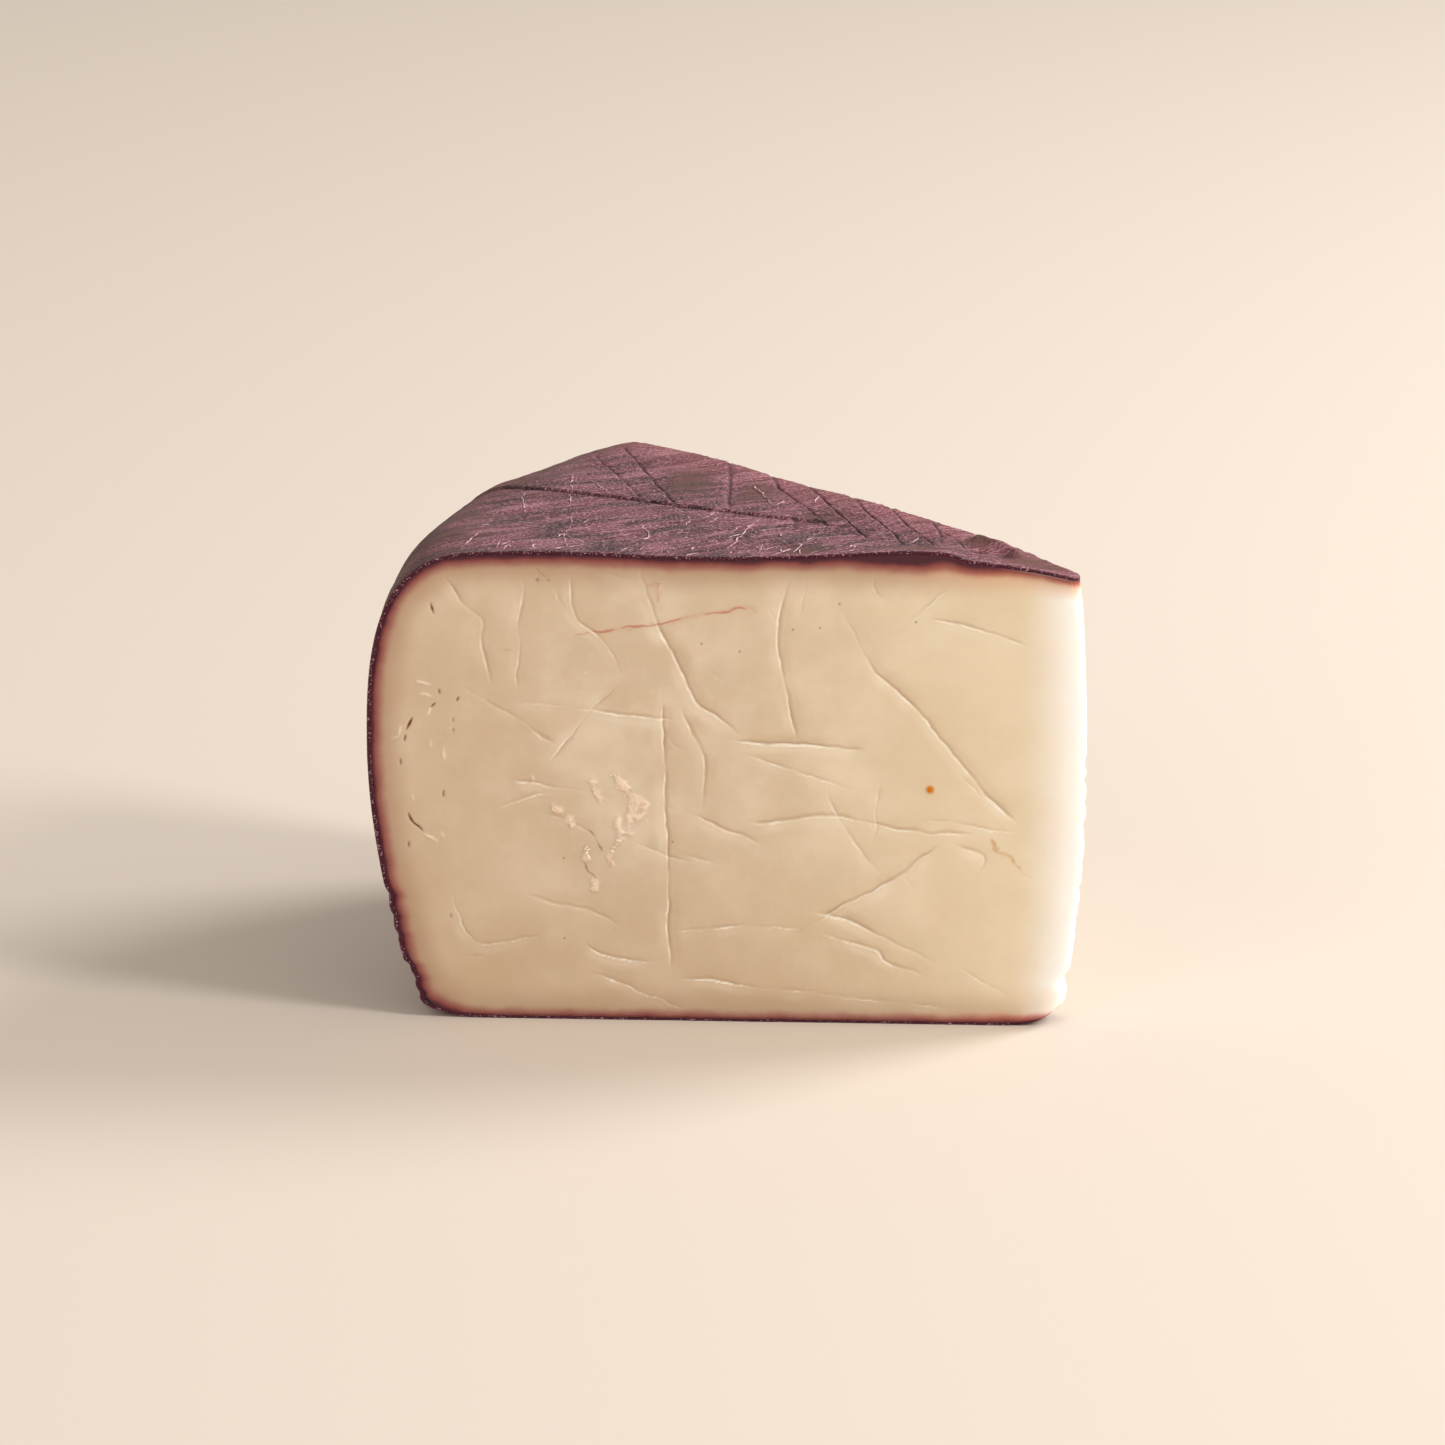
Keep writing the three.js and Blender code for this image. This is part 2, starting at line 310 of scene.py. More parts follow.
def fold_section(distance, width):
    """Depth of a fold beside its line: a sharp groove, a soft bank on one side and a lip on the other."""
    sharp, bank = bump(distance, GROOVE["width"]), bump(distance + GROOVE["bank_at"], 2 * width)
    lip = bump(distance - GROOVE["lip_at"], GROOVE["lip_width"])
    return GROOVE["sharp"] * sharp + GROOVE["bank"] * bank - GROOVE["lip"] * lip


def folded_top(plan):
    """Height that the folds, the overlap, the curled scrap and the lifted edge add to the top."""
    from_corner, behind = -plan[:, 0], plan[:, 1]
    spots = np.column_stack([from_corner, behind])
    waver = np.column_stack([noise(spots, FOLD_WAVER["size"], seed) for seed in FOLD_WAVER["seeds"]])
    spots_bent = spots + FOLD_WAVER["shift"] * waver
    from_back = to_back_cut(from_corner, behind)
    height = SWELL["top"] * np.sin((SWELL["lean"] * behind - from_corner) / SWELL["along"])
    height *= np.cos(behind / SWELL["behind"])
    for fold in FOLDS:
        line = smooth_line(fold["line"])
        close = near_line(spots_bent, line, FOLD_REACH)
        distance, to_end = beside_line(spots_bent[close], line)
        depth = fold["depth"] * (0.3 + 0.7 * smooth_step(from_back[close], 0, 4))
        height[close] -= depth * fold_section(distance, fold["width"]) * smooth_step(to_end + 1.2, 0, 3)
    distance, _ = beside_line(spots_bent, smooth_line(MIDRIB))
    overlap = OVERLAP["height"] * bump(distance, OVERLAP["reach"])
    height += overlap * smooth_step(distance, 0, -OVERLAP["rise"])
    distance, to_end = beside_line(spots_bent, smooth_line(CURL["line"]))
    height += CURL["height"] * bump(distance, CURL["width"]) * smooth_step(to_end + 1, 0, 2)
    for pit in PITS:
        height -= pit["depth"] * bump(np.hypot(*(spots - pit["at"]).T), pit["spread"])
    crest = LIFTED_EDGE["crest"]
    lifted = np.where(
        from_corner > crest,
        smooth_step(from_corner, crest + LIFTED_EDGE["rise"], crest),
        smooth_step(from_corner, crest - LIFTED_EDGE["fall"], crest),
    )
    height += LIFTED_EDGE["height"] * lifted * bump(behind, LIFTED_EDGE["reach"])
    along_back = np.hypot(*plan.T)
    sag = BACK_SAG["depth"] * smooth_step(along_back, BACK_SAG["start"], BACK_SAG["full"])
    crown = BACK_CROWN["height"] * bump(along_back - BACK_CROWN["at"], BACK_CROWN["spread"])
    return height + (crown - sag) * bump(from_back, BACK_SAG["reach"])


plan_of_curl = np.array(CURL["line"], float) * [-1, 1]
print("the curled scrap stands", round(float(folded_top(plan_of_curl).max()), 2), "mm above the flat top")

# %% [markdown]
# ## Wear
#
# A fresh slice would be perfectly straight. This one bulges a little at the thin end, its tip droops,
# the rind's side swells and dips, and the lower edge has flaked. One function moves every point of
# both meshes the same way, so the rind can't come loose from the paste.

# %% Wear of the thin end
NOSE_GAP = NOSE_RADIUS / math.sin(SLICE_ANGLE / 2) - NOSE_RADIUS
NOSE_REACH = 16
NOSE_BULGE = {"out": 1.6, "height": 34}
NOSE_HOLLOW = {"top": 1.5, "foot": 3.0}
NOSE_FOOT_RADIUS = 3
NOSE_LIFT = {"height": 1.3, "reach": 11, "fade": 8}
NOSE_DROOP = {"depth": 2.3, "reach": 19, "power": 1.3}
NOSE_NICK = {"height": 6.2, "depth": 0.8, "spread": 1.1}
NOSE_TEETH = {"depth": 0.28, "length": 1.5, "seed": 15, "from": 6, "to": 46, "power": 20}


def nose_shift(height):
    """How far the worn thin end stands out past the plain slice."""
    away = (height - NOSE_BULGE["height"]) / (WHEEL_HEIGHT - NOSE_BULGE["height"])
    hollow = np.where(away > 0, NOSE_HOLLOW["top"], NOSE_HOLLOW["foot"])
    under = np.clip(1 - height / NOSE_FOOT_RADIUS, 0, 1)
    foot = NOSE_FOOT_RADIUS * (1 - np.sqrt(1 - under**2))
    nick = NOSE_NICK["depth"] * bump(height - NOSE_NICK["height"], NOSE_NICK["spread"])
    return NOSE_BULGE["out"] - hollow * away**2 - foot - nick


def nose_teeth(height):
    """Small bites along the thin end's edge, where the paste crumbled off."""
    bites = rough(height[:, None], NOSE_TEETH["length"], NOSE_TEETH["seed"]).clip(0)
    among = smooth_step(height, NOSE_TEETH["from"], NOSE_TEETH["from"] + 4)
    return NOSE_TEETH["depth"] * bites * among * smooth_step(height, NOSE_TEETH["to"], NOSE_TEETH["to"] - 8)


print("the thin end bulges by up to", round(float(nose_shift(np.linspace(0, WHEEL_HEIGHT)).max()), 2), "mm")

# %% Wear of the whole slice
TOP_WEAR = 9
RIM_POWER = 6
FLAKE = {"height": 8.2, "fade": 0.8, "depth": 0.7, "angle": math.radians(5)}
CHIPS = [
    {"height": 17.2, "depth": 0.45, "spread": 0.8},
    {"height": 14.3, "depth": 0.3, "spread": 0.6},
    {"height": 11.6, "depth": 0.25, "spread": 0.5},
    {"height": 5.6, "depth": 0.3, "spread": 0.6},
    {"height": 3.4, "depth": 0.3, "spread": 0.5},
]


def worn(places):
    """The slice's places after wear, in the wedge's own frame: the sharp corner is at x = y = 0."""
    x, y, z = places.T
    from_corner = np.hypot(x, y)
    near_nose = np.clip(1 - (from_corner - NOSE_GAP) / NOSE_REACH, 0, 1)
    high = smooth_step(z, WHEEL_HEIGHT - TOP_WEAR, WHEEL_HEIGHT)
    low = 1 - smooth_step(z, 0, NOSE_LIFT["fade"])
    droop = NOSE_DROOP["depth"] * np.clip(1 - from_corner / NOSE_DROOP["reach"], 0, 1) ** NOSE_DROOP["power"]
    lift = NOSE_LIFT["height"] * np.clip(1 - from_corner / NOSE_LIFT["reach"], 0, 1) ** 2

    angle = np.arctan2(y, -x)
    swell = SWELL["side"] * np.sin(from_corner * angle / SWELL["round"]) * np.sin(z / SWELL["up"])
    swell *= smooth_step(z, 4, 14)
    beside_cut = 1 - smooth_step(angle, 0, FLAKE["angle"])
    below_flake = 1 - smooth_step(z, FLAKE["height"] - FLAKE["fade"], FLAKE["height"])
    flaked = FLAKE["depth"] * below_flake * smooth_step(z, 0, FOOT_HEIGHT)
    for chip in CHIPS:
        flaked = flaked + chip["depth"] * bump(z - chip["height"], chip["spread"])
    outward = (swell - flaked * beside_cut) * (1 - high) * (from_corner / WHEEL_RADIUS) ** RIM_POWER
    inward = nose_shift(z) * near_nose**2 - nose_teeth(z) * near_nose ** NOSE_TEETH["power"]
    stretch = 1 + (outward - inward) / from_corner
    raised = z + high * (folded_top(places[:, :2]) - droop) + low * lift
    return np.column_stack([x * stretch, y * stretch, raised])


print("the lower edge has", len(CHIPS), "chips and one flake", FLAKE["height"], "mm high")

# %% [markdown]
# ## A box of squares to bend
#
# Both meshes start as the six sides of a box, cut into small squares. Squares near a crease stay tiny,
# and away from it four of them join into one, then sixteen, and so on. A large square keeps every small
# vertex along its rim, so the mesh stays closed without spending triangles where nothing happens.

# %% Cells of one side
CELL_SIZES = (16, 8, 4, 2, 1)


def leaf_cells(largest):
    """Square cells of one side, none larger than `largest` allows inside it, as pairs of places and size."""
    rows, columns = largest.shape
    taken = np.zeros(largest.shape, bool)
    found = []
    for size in CELL_SIZES:
        if rows % size or columns % size:
            continue
        blocks = (rows // size, size, columns // size, size)
        free = (largest.reshape(blocks).min(axis=(1, 3)) >= size) & ~taken.reshape(blocks).any(axis=(1, 3))
        found.append((np.argwhere(free) * size, size))
        taken |= np.repeat(np.repeat(free, size, axis=0), size, axis=1)
    return found


def rim_of(grid, i, j, size):
    """The used vertices round one cell, in order."""
    walk = np.concatenate([
        grid[i:i + size, j],
        grid[i + size, j:j + size],
        grid[i + 1:i + size + 1, j + size][::-1],
        grid[i, j + 1:j + size + 1][::-1],
    ])
    return walk[walk >= 0].tolist()


# %% The curved box
def curved_box(steps, largest_cells):
    """Shares (0 to 1) of the vertices on a box's six sides, and the faces.

    `largest_cells` holds the largest cell size that is allowed on each side, given as (axis, end)."""
    number = np.full([step + 1 for step in steps], -1)
    sides = []
    for (axis, end), largest in largest_cells.items():
        grid = np.moveaxis(number, axis, 0)[-end]
        largest = np.broadcast_to(largest, [size - 1 for size in grid.shape])
        if axis == 1:
            grid, largest = grid.T, largest.T
        cells = leaf_cells(largest)
        for places, size in cells:
            for down, right in itertools.product((0, size), repeat=2):
                grid[places[:, 0] + down, places[:, 1] + right] = 0
        sides.append((grid, cells, end))
    used = number >= 0
    number[used] = np.arange(used.sum())
    faces = []
    for grid, cells, end in sides:
        rims = [rim_of(grid, i, j, size) for places, size in cells for i, j in places]
        faces += rims if end else [rim[::-1] for rim in rims]
    return np.argwhere(used) / np.array(steps), faces


def cell_centres(steps, block):
    """Shares at the middles of a side's blocks of cells."""
    rows, columns = ((np.arange(step // block) + 0.5) * block / step for step in steps)
    return (part.ravel() for part in np.meshgrid(rows, columns, indexing="ij"))


def by_distance(distance, steps, block, sizes):
    """Largest cell size allowed in each block, from how far it lies from the nearest crease."""
    largest = np.select([distance < reach for reach, _ in sizes], [size for _, size in sizes], CELL_SIZES[0])
    grid = largest.reshape(steps[0] // block, steps[1] // block)
    return np.repeat(np.repeat(grid, block, axis=0), block, axis=1)


# %% [markdown]
# ## From places to a piece
#
# Every mesh of this lesson is handed to Blender by one function. It turns the faces outwards and
# stores extra numbers at the vertices, which is how a shape tells its material where a crease or a
# stain lies. The wedge may not grow past its solid, so places are held inside the solid's box first.

# %% From places to a piece
def in_box(places):
    """Places in millimetres, held inside the solid's box."""
    return np.clip(places, box_low, box_high)


def make_piece(name, places, faces, values, edges=()):
    """A mesh object in metres that keeps every number or vector of `values` at its vertices."""
    mesh = bpy.data.meshes.new(name)
    mesh.from_pydata((places * MM).tolist(), edges, faces)
    for value_name, value in values.items():
        kind, field = ("FLOAT_VECTOR", "vector") if value.ndim == 2 else ("FLOAT", "value")
        attribute = mesh.attributes.new(value_name, kind, "POINT")
        attribute.data.foreach_set(field, value.astype(np.float32).ravel())
    turned = bmesh.new()
    turned.from_mesh(mesh)
    if turned.faces and turned.calc_volume(signed=True) < 0:
        bmesh.ops.reverse_faces(turned, faces=turned.faces)
    turned.to_mesh(mesh)
    turned.free()
    mesh.polygons.foreach_set("use_smooth", [True] * len(mesh.polygons))
    piece = bpy.data.objects.new(name, mesh)
    bpy.context.scene.collection.objects.link(piece)
    return piece


def triangles_of(piece):
    return sum(len(face.vertices) - 2 for face in piece.data.polygons)


# %% [markdown]
# ## The rind
#
# The rind is a skin a little over a millimetre thick. Its grid runs from the thin end over the top,
# round the shoulder, down the side and back under the foot, and the third direction is depth: the
# box's far side becomes the skin's inner face. Its cut lips are tucked in a little behind the paste,
# which hides the joint.

# %% The rind's shell
RIND_STEPS = (992, 352, 6)
RIND_BLOCK = 4
RIND_CELLS = [(0.6, 1), (1.8, 2)]
FOOT_SHARE_OF_ROWS = 0.1
FLAT_POINTS = 200
LIP_DEPTH = 2
LIP_TUCK = 0.3
INNER_INSET = 0.03
TOP_END, SIDE_START, FINE_UNTIL = 90, 95, 110
print("the rind is", round(LIP_DEPTH * RIND["top"], 2), "mm thick on top and",
      round(LIP_DEPTH * RIND["side"], 2), "mm at the side")


def skin_path(inset, count):
    """How far along the slice, how wide and how high the skin is, in even steps from top to foot."""
    radius, height = (values[::-1] for values in outline(inset))
    out, level = shares_of(FLAT_POINTS), np.ones(FLAT_POINTS)
    top_share = np.column_stack([out, radius[0] * level, height[0] * level])
    side_share = np.column_stack([np.ones(len(radius)), radius, height])
    foot_share = np.column_stack([out[::-1], radius[-1] * level, height[-1] * level])
    path = np.vstack([top_share, side_share[1:], foot_share[1:]])
    steps = np.hypot(np.diff(path[:, 0] * path[:, 1]), np.diff(path[:, 2]))
    travelled = np.append(0, np.cumsum(steps))
    under = travelled[-1] - radius[0]
    foot_rows = int(count * FOOT_SHARE_OF_ROWS)
    stops = np.append(
        np.linspace(0, under, count - foot_rows), np.linspace(under, travelled[-1], foot_rows + 1)[1:]
    )
    return np.column_stack([np.interp(stops, travelled, path[:, axis]) for axis in range(3)] + [stops])


def rind_places(shares):
    """Plain places of the rind's vertices, and how far each lies from the thin end over the skin."""
    rows = np.rint(shares[:, 0] * RIND_STEPS[0]).astype(int)
    levels = np.rint(shares[:, 2] * RIND_STEPS[2]).astype(int)
    paths = np.stack([skin_path(LIP_DEPTH * level / RIND_STEPS[2], RIND_STEPS[0] + 1)
                      for level in range(RIND_STEPS[2] + 1)])
    along, radius, height, travelled = paths[levels, rows].T
    across = shares[:, 1]
    places = slice_places(along, across, radius, height)
    inner = shares[:, 2] == 1
    rim = (across == 0) | (across == 1) | (shares[:, 0] == 0) | (shares[:, 0] == 1)
    _, outward = nose_plan(across)
    tuck = LIP_TUCK * smooth_step(shares[:, 2], 0.3, 1) * rim
    places[:, :2] -= outward * tuck[:, None]
    places[inner & ~rim] += (HEART - places[inner & ~rim]) * INNER_INSET
    return places, travelled


# %% The rind's mesh
rows, columns = cell_centres(RIND_STEPS[:2], RIND_BLOCK)
middles, travelled = rind_places(np.column_stack([rows, columns, np.zeros(len(rows))]))
plan = middles[:, :2] * [-1, 1]
from_lines = nearest_of(plan, [fold["line"] for fold in FOLDS] + [CURL["line"]])
from_front = np.where(travelled < TOP_END, middles[:, 1] * 0.7, 8)
needed = np.where(travelled < FINE_UNTIL, np.minimum(from_lines, from_front), np.inf)
largest = by_distance(needed, RIND_STEPS[:2], RIND_BLOCK, RIND_CELLS)
for share_of_rows, size in ((0.5, 2), (0.9, 4)):
    upper_rows = largest[:int(RIND_STEPS[0] * share_of_rows)]
    np.minimum(upper_rows, size, out=upper_rows)
shares, rind_faces = curved_box(RIND_STEPS, {
    (0, 0): 1, (0, 1): 1, (1, 0): 1, (1, 1): 1, (2, 0): largest, (2, 1): 16,
})
plain, travelled = rind_places(shares)
rind_mm = worn(plain)
reach = -rind_mm[:, 0].min()
corner = np.array([box_low[0] + reach, box_low[1], 0])
print("the sharp corner is at", np.round(corner, 2), "and the rind has", len(rind_mm), "vertices")

# %% [markdown]
# ## Fibres, bare patches and painted shade in the creases of the rind
#
# Under a soft light the rind looks like a dried leaf. Fine fibres lean across it, the skin is rubbed
# brown in a few places, and the bottoms of the creases get painted shade. The fibres are true relief.
# The rest is kept as a number at every vertex, which the material turns into colour later.

# %% The rind's relief and the values for its material
BARE_PATCHES = [
    {"at": (46.5, 33), "size": (2.6, 6)}, {"at": (38, 3), "size": (4.5, 1.9)},
    {"at": (14, 9.6), "size": (3.2, 1.3)}, {"at": (56, 40), "size": (3, 7)},
    {"at": (36, 20), "size": (2.5, 1.6)}, {"at": (24, 3), "size": (4.5, 1.2)},
    {"at": (8, 4.2), "size": (5, 2)},
]
FIBRES = {"height": 0.13, "length": 7, "width": 0.8, "lean": 0.55, "until": 82}
BARE_SHOULDER = {"start": 74, "full": 88, "until": 120}
FLUSH_AND_LIGHT = {"reach": 12, "lines": [[[44, 42], [40, 34], [37, 27]]]}


def fibre_places(plan, travelled):
    """Places on the rind, laid out so that its fibres run along the first axis."""
    return np.column_stack([travelled, plan[:, 1] + FIBRES["lean"] * np.minimum(travelled, FIBRES["until"])])


outer = shares[:, 2] == 0
spots = plain[:, :2] * [-1, 1]
fibres = fibre_places(plain[:, :2], travelled)
stretched = fibres / [FIBRES["length"], FIBRES["width"]]
# Where painted shade goes: the bottoms of the folds and the pits.
hollow = bump(nearest_of(spots, [fold["line"] for fold in FOLDS]), 0.24)
for pit in PITS:
    hollow = np.maximum(hollow, bump(np.hypot(*((spots - pit["at"]) * [0.6, 1]).T), 0.9))
waves = rough(stretched, 1, 81) * (0.6 + 0.5 * noise(fibres, 11, 84))
waves *= np.where(travelled < SIDE_START, 1, 1.6)
normal_out = worn(plain + (plain - HEART) * 0.01) - rind_mm
normal_out /= np.linalg.norm(normal_out, axis=1)[:, None]
keep_edge = smooth_step(np.minimum(plain[:, 1], 4), -0.4, 1.2) * smooth_step(travelled, 1, 4)
relief = FIBRES["height"] * (waves - 0.9) * outer * keep_edge
rind_mm += normal_out * relief[:, None]
print("the fibres stand up to", round(relief.max() - relief.min(), 2), "mm high")

# %% Bare and flushed parts of the rind
bare = np.zeros(len(shares))
for patch in BARE_PATCHES:
    away = np.hypot(*((spots - patch["at"]) / patch["size"]).T) + 0.5 * noise(spots, 2.6, 86)
    bare = np.maximum(bare, 0.8 * smooth_step(away, 1.7, 0.3))
uneven = travelled + 5 * noise(fibres / [3, 1], 2.2, 87)
shoulder = smooth_step(uneven, BARE_SHOULDER["start"], BARE_SHOULDER["full"])
shoulder *= smooth_step(travelled, BARE_SHOULDER["until"] + 20, BARE_SHOULDER["until"] - 10)
bare = np.maximum(bare * (travelled < TOP_END), shoulder * (0.65 + 0.35 * noise(fibres, 4, 88)))
# Redder towards the back cut, the rind's own tint, reaching far enough to also lighten the right part of the
# top as painted light.
flush_and_light = smooth_step(to_back_cut(*spots.T) + 2 * noise(spots, 5, 89), FLUSH_AND_LIGHT["reach"], 0)
flush_and_light = np.maximum(flush_and_light, bump(nearest_of(spots, FLUSH_AND_LIGHT["lines"]), 1.6)) * (travelled < TOP_END)

rind = make_piece("rind", in_box(rind_mm + corner), rind_faces, {
    "fibres": np.column_stack([fibres, plain[:, 2] * 0.3]),
    "depth": shares[:, 2] * LIP_DEPTH,
    "hollow": hollow * (travelled < SIDE_START),
    "bare": bare,
    "flush_and_light": flush_and_light,
})
print("the rind has", triangles_of(rind), "triangles")

# %% [markdown]
# ## The paste
#
# The paste fills the rind. Its two cut faces carry everything that makes cheese look like cheese: the drag
# of the knife, cracks that opened along the curd, small holes and a crumbly patch. The creases of the front
# cut are read off the photograph, as their places to the right of the middle and above the foot.

# %% Creases of the front cut
CUT_MIDDLE = 49
DEEP_CREASES = [
    [[-11.9, 64.3], [-9.1, 55.2], [-6.3, 49.9], [-4.1, 44.9], [-0.6, 42.4], [2.5, 39.9]],
    [[0, 39.6], [5, 39.1], [13.8, 38.8], [19.3, 38.1]],
    [[-8.8, 47.4], [-8.3, 36.8], [-7.8, 20.5], [-7.6, 6.4]],
    [[-6.3, 44.3], [-4.7, 41.1], [-3.1, 37.4], [-3.1, 28.9]],
    [[-5.6, 29.7], [-2.5, 28.3], [1.3, 26.6], [5.3, 24.8]],
    [[2.2, 28.5], [5, 28], [10, 28.8], [15.6, 29.1], [25, 27.1], [34.4, 26.8]],
    [[15.3, 57.7], [17.5, 53.9], [20, 49.3], [25, 44.6], [34.4, 33], [39.1, 28.1]],
    [[8.4, 63], [6.9, 55.2], [7.5, 49.3], [9.1, 41.8], [9.5, 38.9]],
    [[-35.6, 46.8], [-31.9, 44.3], [-27.5, 41.8], [-22.5, 38]],
    [[29.1, 25.6], [23.1, 20.8], [16.3, 16.8], [7.2, 10.8]],
    [[8.8, 15.8], [15, 14.9], [20, 12.7], [29.4, 8]],
    [[-27.8, 17.7], [-25, 16.8], [-18.8, 15.5], [-14.1, 13]],
    [[-38.1, 62.7], [-35.3, 58.3], [-33.2, 56.4], [-32.6, 55.2], [-32.5, 51.8], [-31.4, 46.1]],
]
FINE_CREASES = [
    [[13.4, 33.9], [14.4, 30.2], [17.5, 25.5], [21.3, 20.2]],
    [[-8, 6.1], [-2.5, 5.9], [6.3, 4.7], [18.8, 3.4], [30.6, 2.2]],
    [[30.3, 36.1], [33.1, 33.3], [38.8, 28.3]],
    [[-27.6, 63], [-27, 59.9], [-27.6, 55.5], [-28.1, 44.6]],
    [[-25.4, 63.6], [-25.1, 57.7]],
    [[-20.9, 63], [-20.3, 56.8], [-17.5, 54.3], [-14.7, 50.8], [-14.3, 47.7]],
    [[-23.6, 61.4], [-21, 56]],
    [[-16.9, 63], [-11.6, 61.3]],
    [[-14.3, 47.7], [-22.5, 38], [-24.4, 35.2]],
    [[-30, 44.1], [-25, 44.4], [-15, 43], [-5, 42.3]],
    [[-8.4, 40.5], [-6.9, 38.6], [-4.7, 37.6]],
    [[-13.1, 25.3], [-8.1, 23.3], [-3.4, 22.3]],
    [[-6.3, 23.9], [-0.5, 21.8]],
    [[25.3, 28.9], [31.3, 28.3], [39.4, 27.1]],
    [[5.3, 58.9], [6.9, 55.2]],
    [[10.6, 63], [10.3, 59.3], [8.9, 55.2]],
    [[19.7, 63.3], [20, 59.9], [22.5, 58.6]],
    [[32.5, 63], [30, 61.1], [21.3, 53.6]],
    [[25.3, 56.8], [31.3, 56.1], [40.6, 53]],
    [[1.6, 38], [6.3, 36.4], [19.4, 31.9]],
    [[20.8, 35.2], [20.1, 30.5], [20.3, 27.4], [19.1, 24.9]],
    [[29.1, 25.6], [34.5, 23.9], [33.1, 20.5]],
    [[23.8, 21.1], [25.9, 18.2]],
    [[-8.4, 12.7], [-2.5, 13], [3.1, 13.6], [11.3, 13.1]],
    [[11.3, 13], [20, 10.5], [21.9, 8.6], [28.1, 6.4]],
    [[30.6, 8.6], [40, 3]],
    [[-20.3, 6.4], [-17.5, 6.4], [-12.5, 4.3], [-4.7, 1.3]],
    [[-20, 11.8], [-16.9, 9.3], [-8.8, 8]],
    [[-37.8, 18.6], [-36.6, 15.5], [-35, 11.8], [-32.5, 10.5], [-24.4, 12.1]],
    [[-39.7, 9.6], [-36.9, 8.6], [-31.9, 8.6]],
    [[-30, 33.6], [-25, 33], [-17.5, 31.9]],
    [[-31.9, 28.9], [-26.3, 31.4], [-22.5, 31.9]],
    [[-25.3, 29.3], [-20.6, 27.7], [-16.3, 25.2]],
    [[-3.8, 49.9], [-0.6, 48], [1.3, 47.1]],
    [[-40, 50.5], [-36.5, 49.8]],
    [[-41, 48], [-38, 47.4]],
]
DEEP = {"depth": 0.18, "width": 0.18, "lip": 0.035}
FINE = {"depth": 0.09, "width": 0.16, "lip": 0.025}
print("the front cut has", len(DEEP_CREASES) + len(FINE_CREASES), "creases")

# %% [markdown]
# ## Small marks of the front cut
#
# Between the creases lie the marks that tell the eye how small the cheese is: slits where the curd
# didn't close, pale scuffs beside them, dark specks, one amber bead, a crumbly patch and a thin line
# where the wine ran in. They are drawn in the same way as the creases, because then relief and colour
# can come from one line.

# %% Stains, holes and the crumbly patch
STAIN_LINES = [
    [[-30, 51.5], [-28.6, 51.6]],
    [[-21, 53.6], [-15, 54.8], [-9.4, 55.5], [-5, 56.4], [0, 57.5], [4.4, 57.7]],
    [[-9.4, 61.6], [-9.1, 60.2], [-9, 58.6]], [[-10.6, 61], [-8.6, 61.2]],
    [[-25.4, 63.4], [-24.6, 62.3], [-23.8, 61.9]],
]
AMBER_CRACKS = [[[34.7, 27.1], [36.3, 24.6], [38.1, 23.3], [40.4, 20.6]]]
SLITS = [
    [[-39.5, 58], [-39.1, 56.6]], [[-38.5, 46.05], [-38.35, 45.6]], [[-39.4, 43.8], [-38.95, 44.25]],
    [[-36.05, 44.6], [-35.8, 45.1]], [[-36.6, 42.1], [-36.55, 41.8]], [[-36.5, 40.75], [-36.45, 40.5]],
    [[-42.85, 40.5], [-42.1, 42.1]], [[-43.2, 38.9], [-43, 39.8]], [[-43.85, 36.2], [-43.8, 35.5]],
    [[-37.95, 32], [-37.9, 31.3]], [[-42.8, 24.7], [-42.75, 24.1]], [[-37.4, 14.5], [-37.4, 14.1]],
    [[-42.7, 28.8], [-42.1, 27.6], [-40.9, 26.4]], [[-25.3, 61.4], [-25.1, 61.2]],
    [[-23.65, 61.45], [-23.6, 61.35]],
]
SPECKS = [
    (25.3, 56.3), (15.1, 58.6), (8.9, 55), (12.5, 55.3), (-3.3, 52.9), (1.8, 51.9), (-21.9, 11.4),
    (-21.9, 22.7), (-7.2, 25.2),
]
AMBER_BEAD = {"at": (27.4, 33.1), "radius": 0.58}
CRUMB_LINES = [
    [[-15.1, 34.5], [-14.1, 33.1], [-13, 31.9], [-11.8, 31.1], [-11, 30.4]],
    [[-11, 30.4], [-11, 29.2], [-11.8, 28.3]],
    [[-12.4, 31.1], [-12.8, 29], [-13, 27.5]], [[-14.6, 28.1], [-14.4, 26.9], [-13.2, 26.3]],
    [[-18, 33], [-17.3, 31.3]], [[-18.8, 24.3], [-18.6, 22.9]], [[-17.8, 19.4], [-17.7, 18.5]],
    [[-23.1, 29.6], [-22.5, 29.4]], [[-20.9, 28], [-20.5, 27.6]],
    [[-15.7, 22.4], [-15, 24.2], [-14.3, 25.4]],
]
SCUFFS = [
    [[-41.3, 47.4], [-39.7, 46.6]], [[-41, 45.4], [-39.4, 45]], [[-40.2, 42.4], [-39.7, 43.4]],
    [[-39.9, 38.8], [-39.8, 37.8]], [[-37.9, 38.3], [-38, 36.2]], [[-45.1, 39.1], [-44, 39.5]],
    [[-43.8, 39.9], [-43.5, 41.2]], [[-42.1, 31.5], [-42, 30.8]], [[-28.6, 33.2], [-27.7, 33]],
    [[-26, 34.3], [-25.7, 33.8]], [[-40.7, 26.2], [-39, 24.7]], [[-19.1, 49.1], [-18.6, 48.7]],
    [[-38.5, 26], [-38.1, 25.5]],
]
PATCH_CRACKS = [[[-18.6, 26.9], [-17.7, 25.8], [-16.5, 24]], [[-19, 22.3], [-18.6, 21.1], [-17.7, 20]]]
print("the front cut has", len(SLITS), "slits,", len(SPECKS), "specks and", len(SCUFFS), "scuffs")

# %% [markdown]
# ## Creases of the other cut
#
# The back cut is turned away from the photograph, so its creases are drawn by seeded chance, in about the
# same number and lengths. All creases are kept in one table, with the size of their groove and the seed of
# their waver.

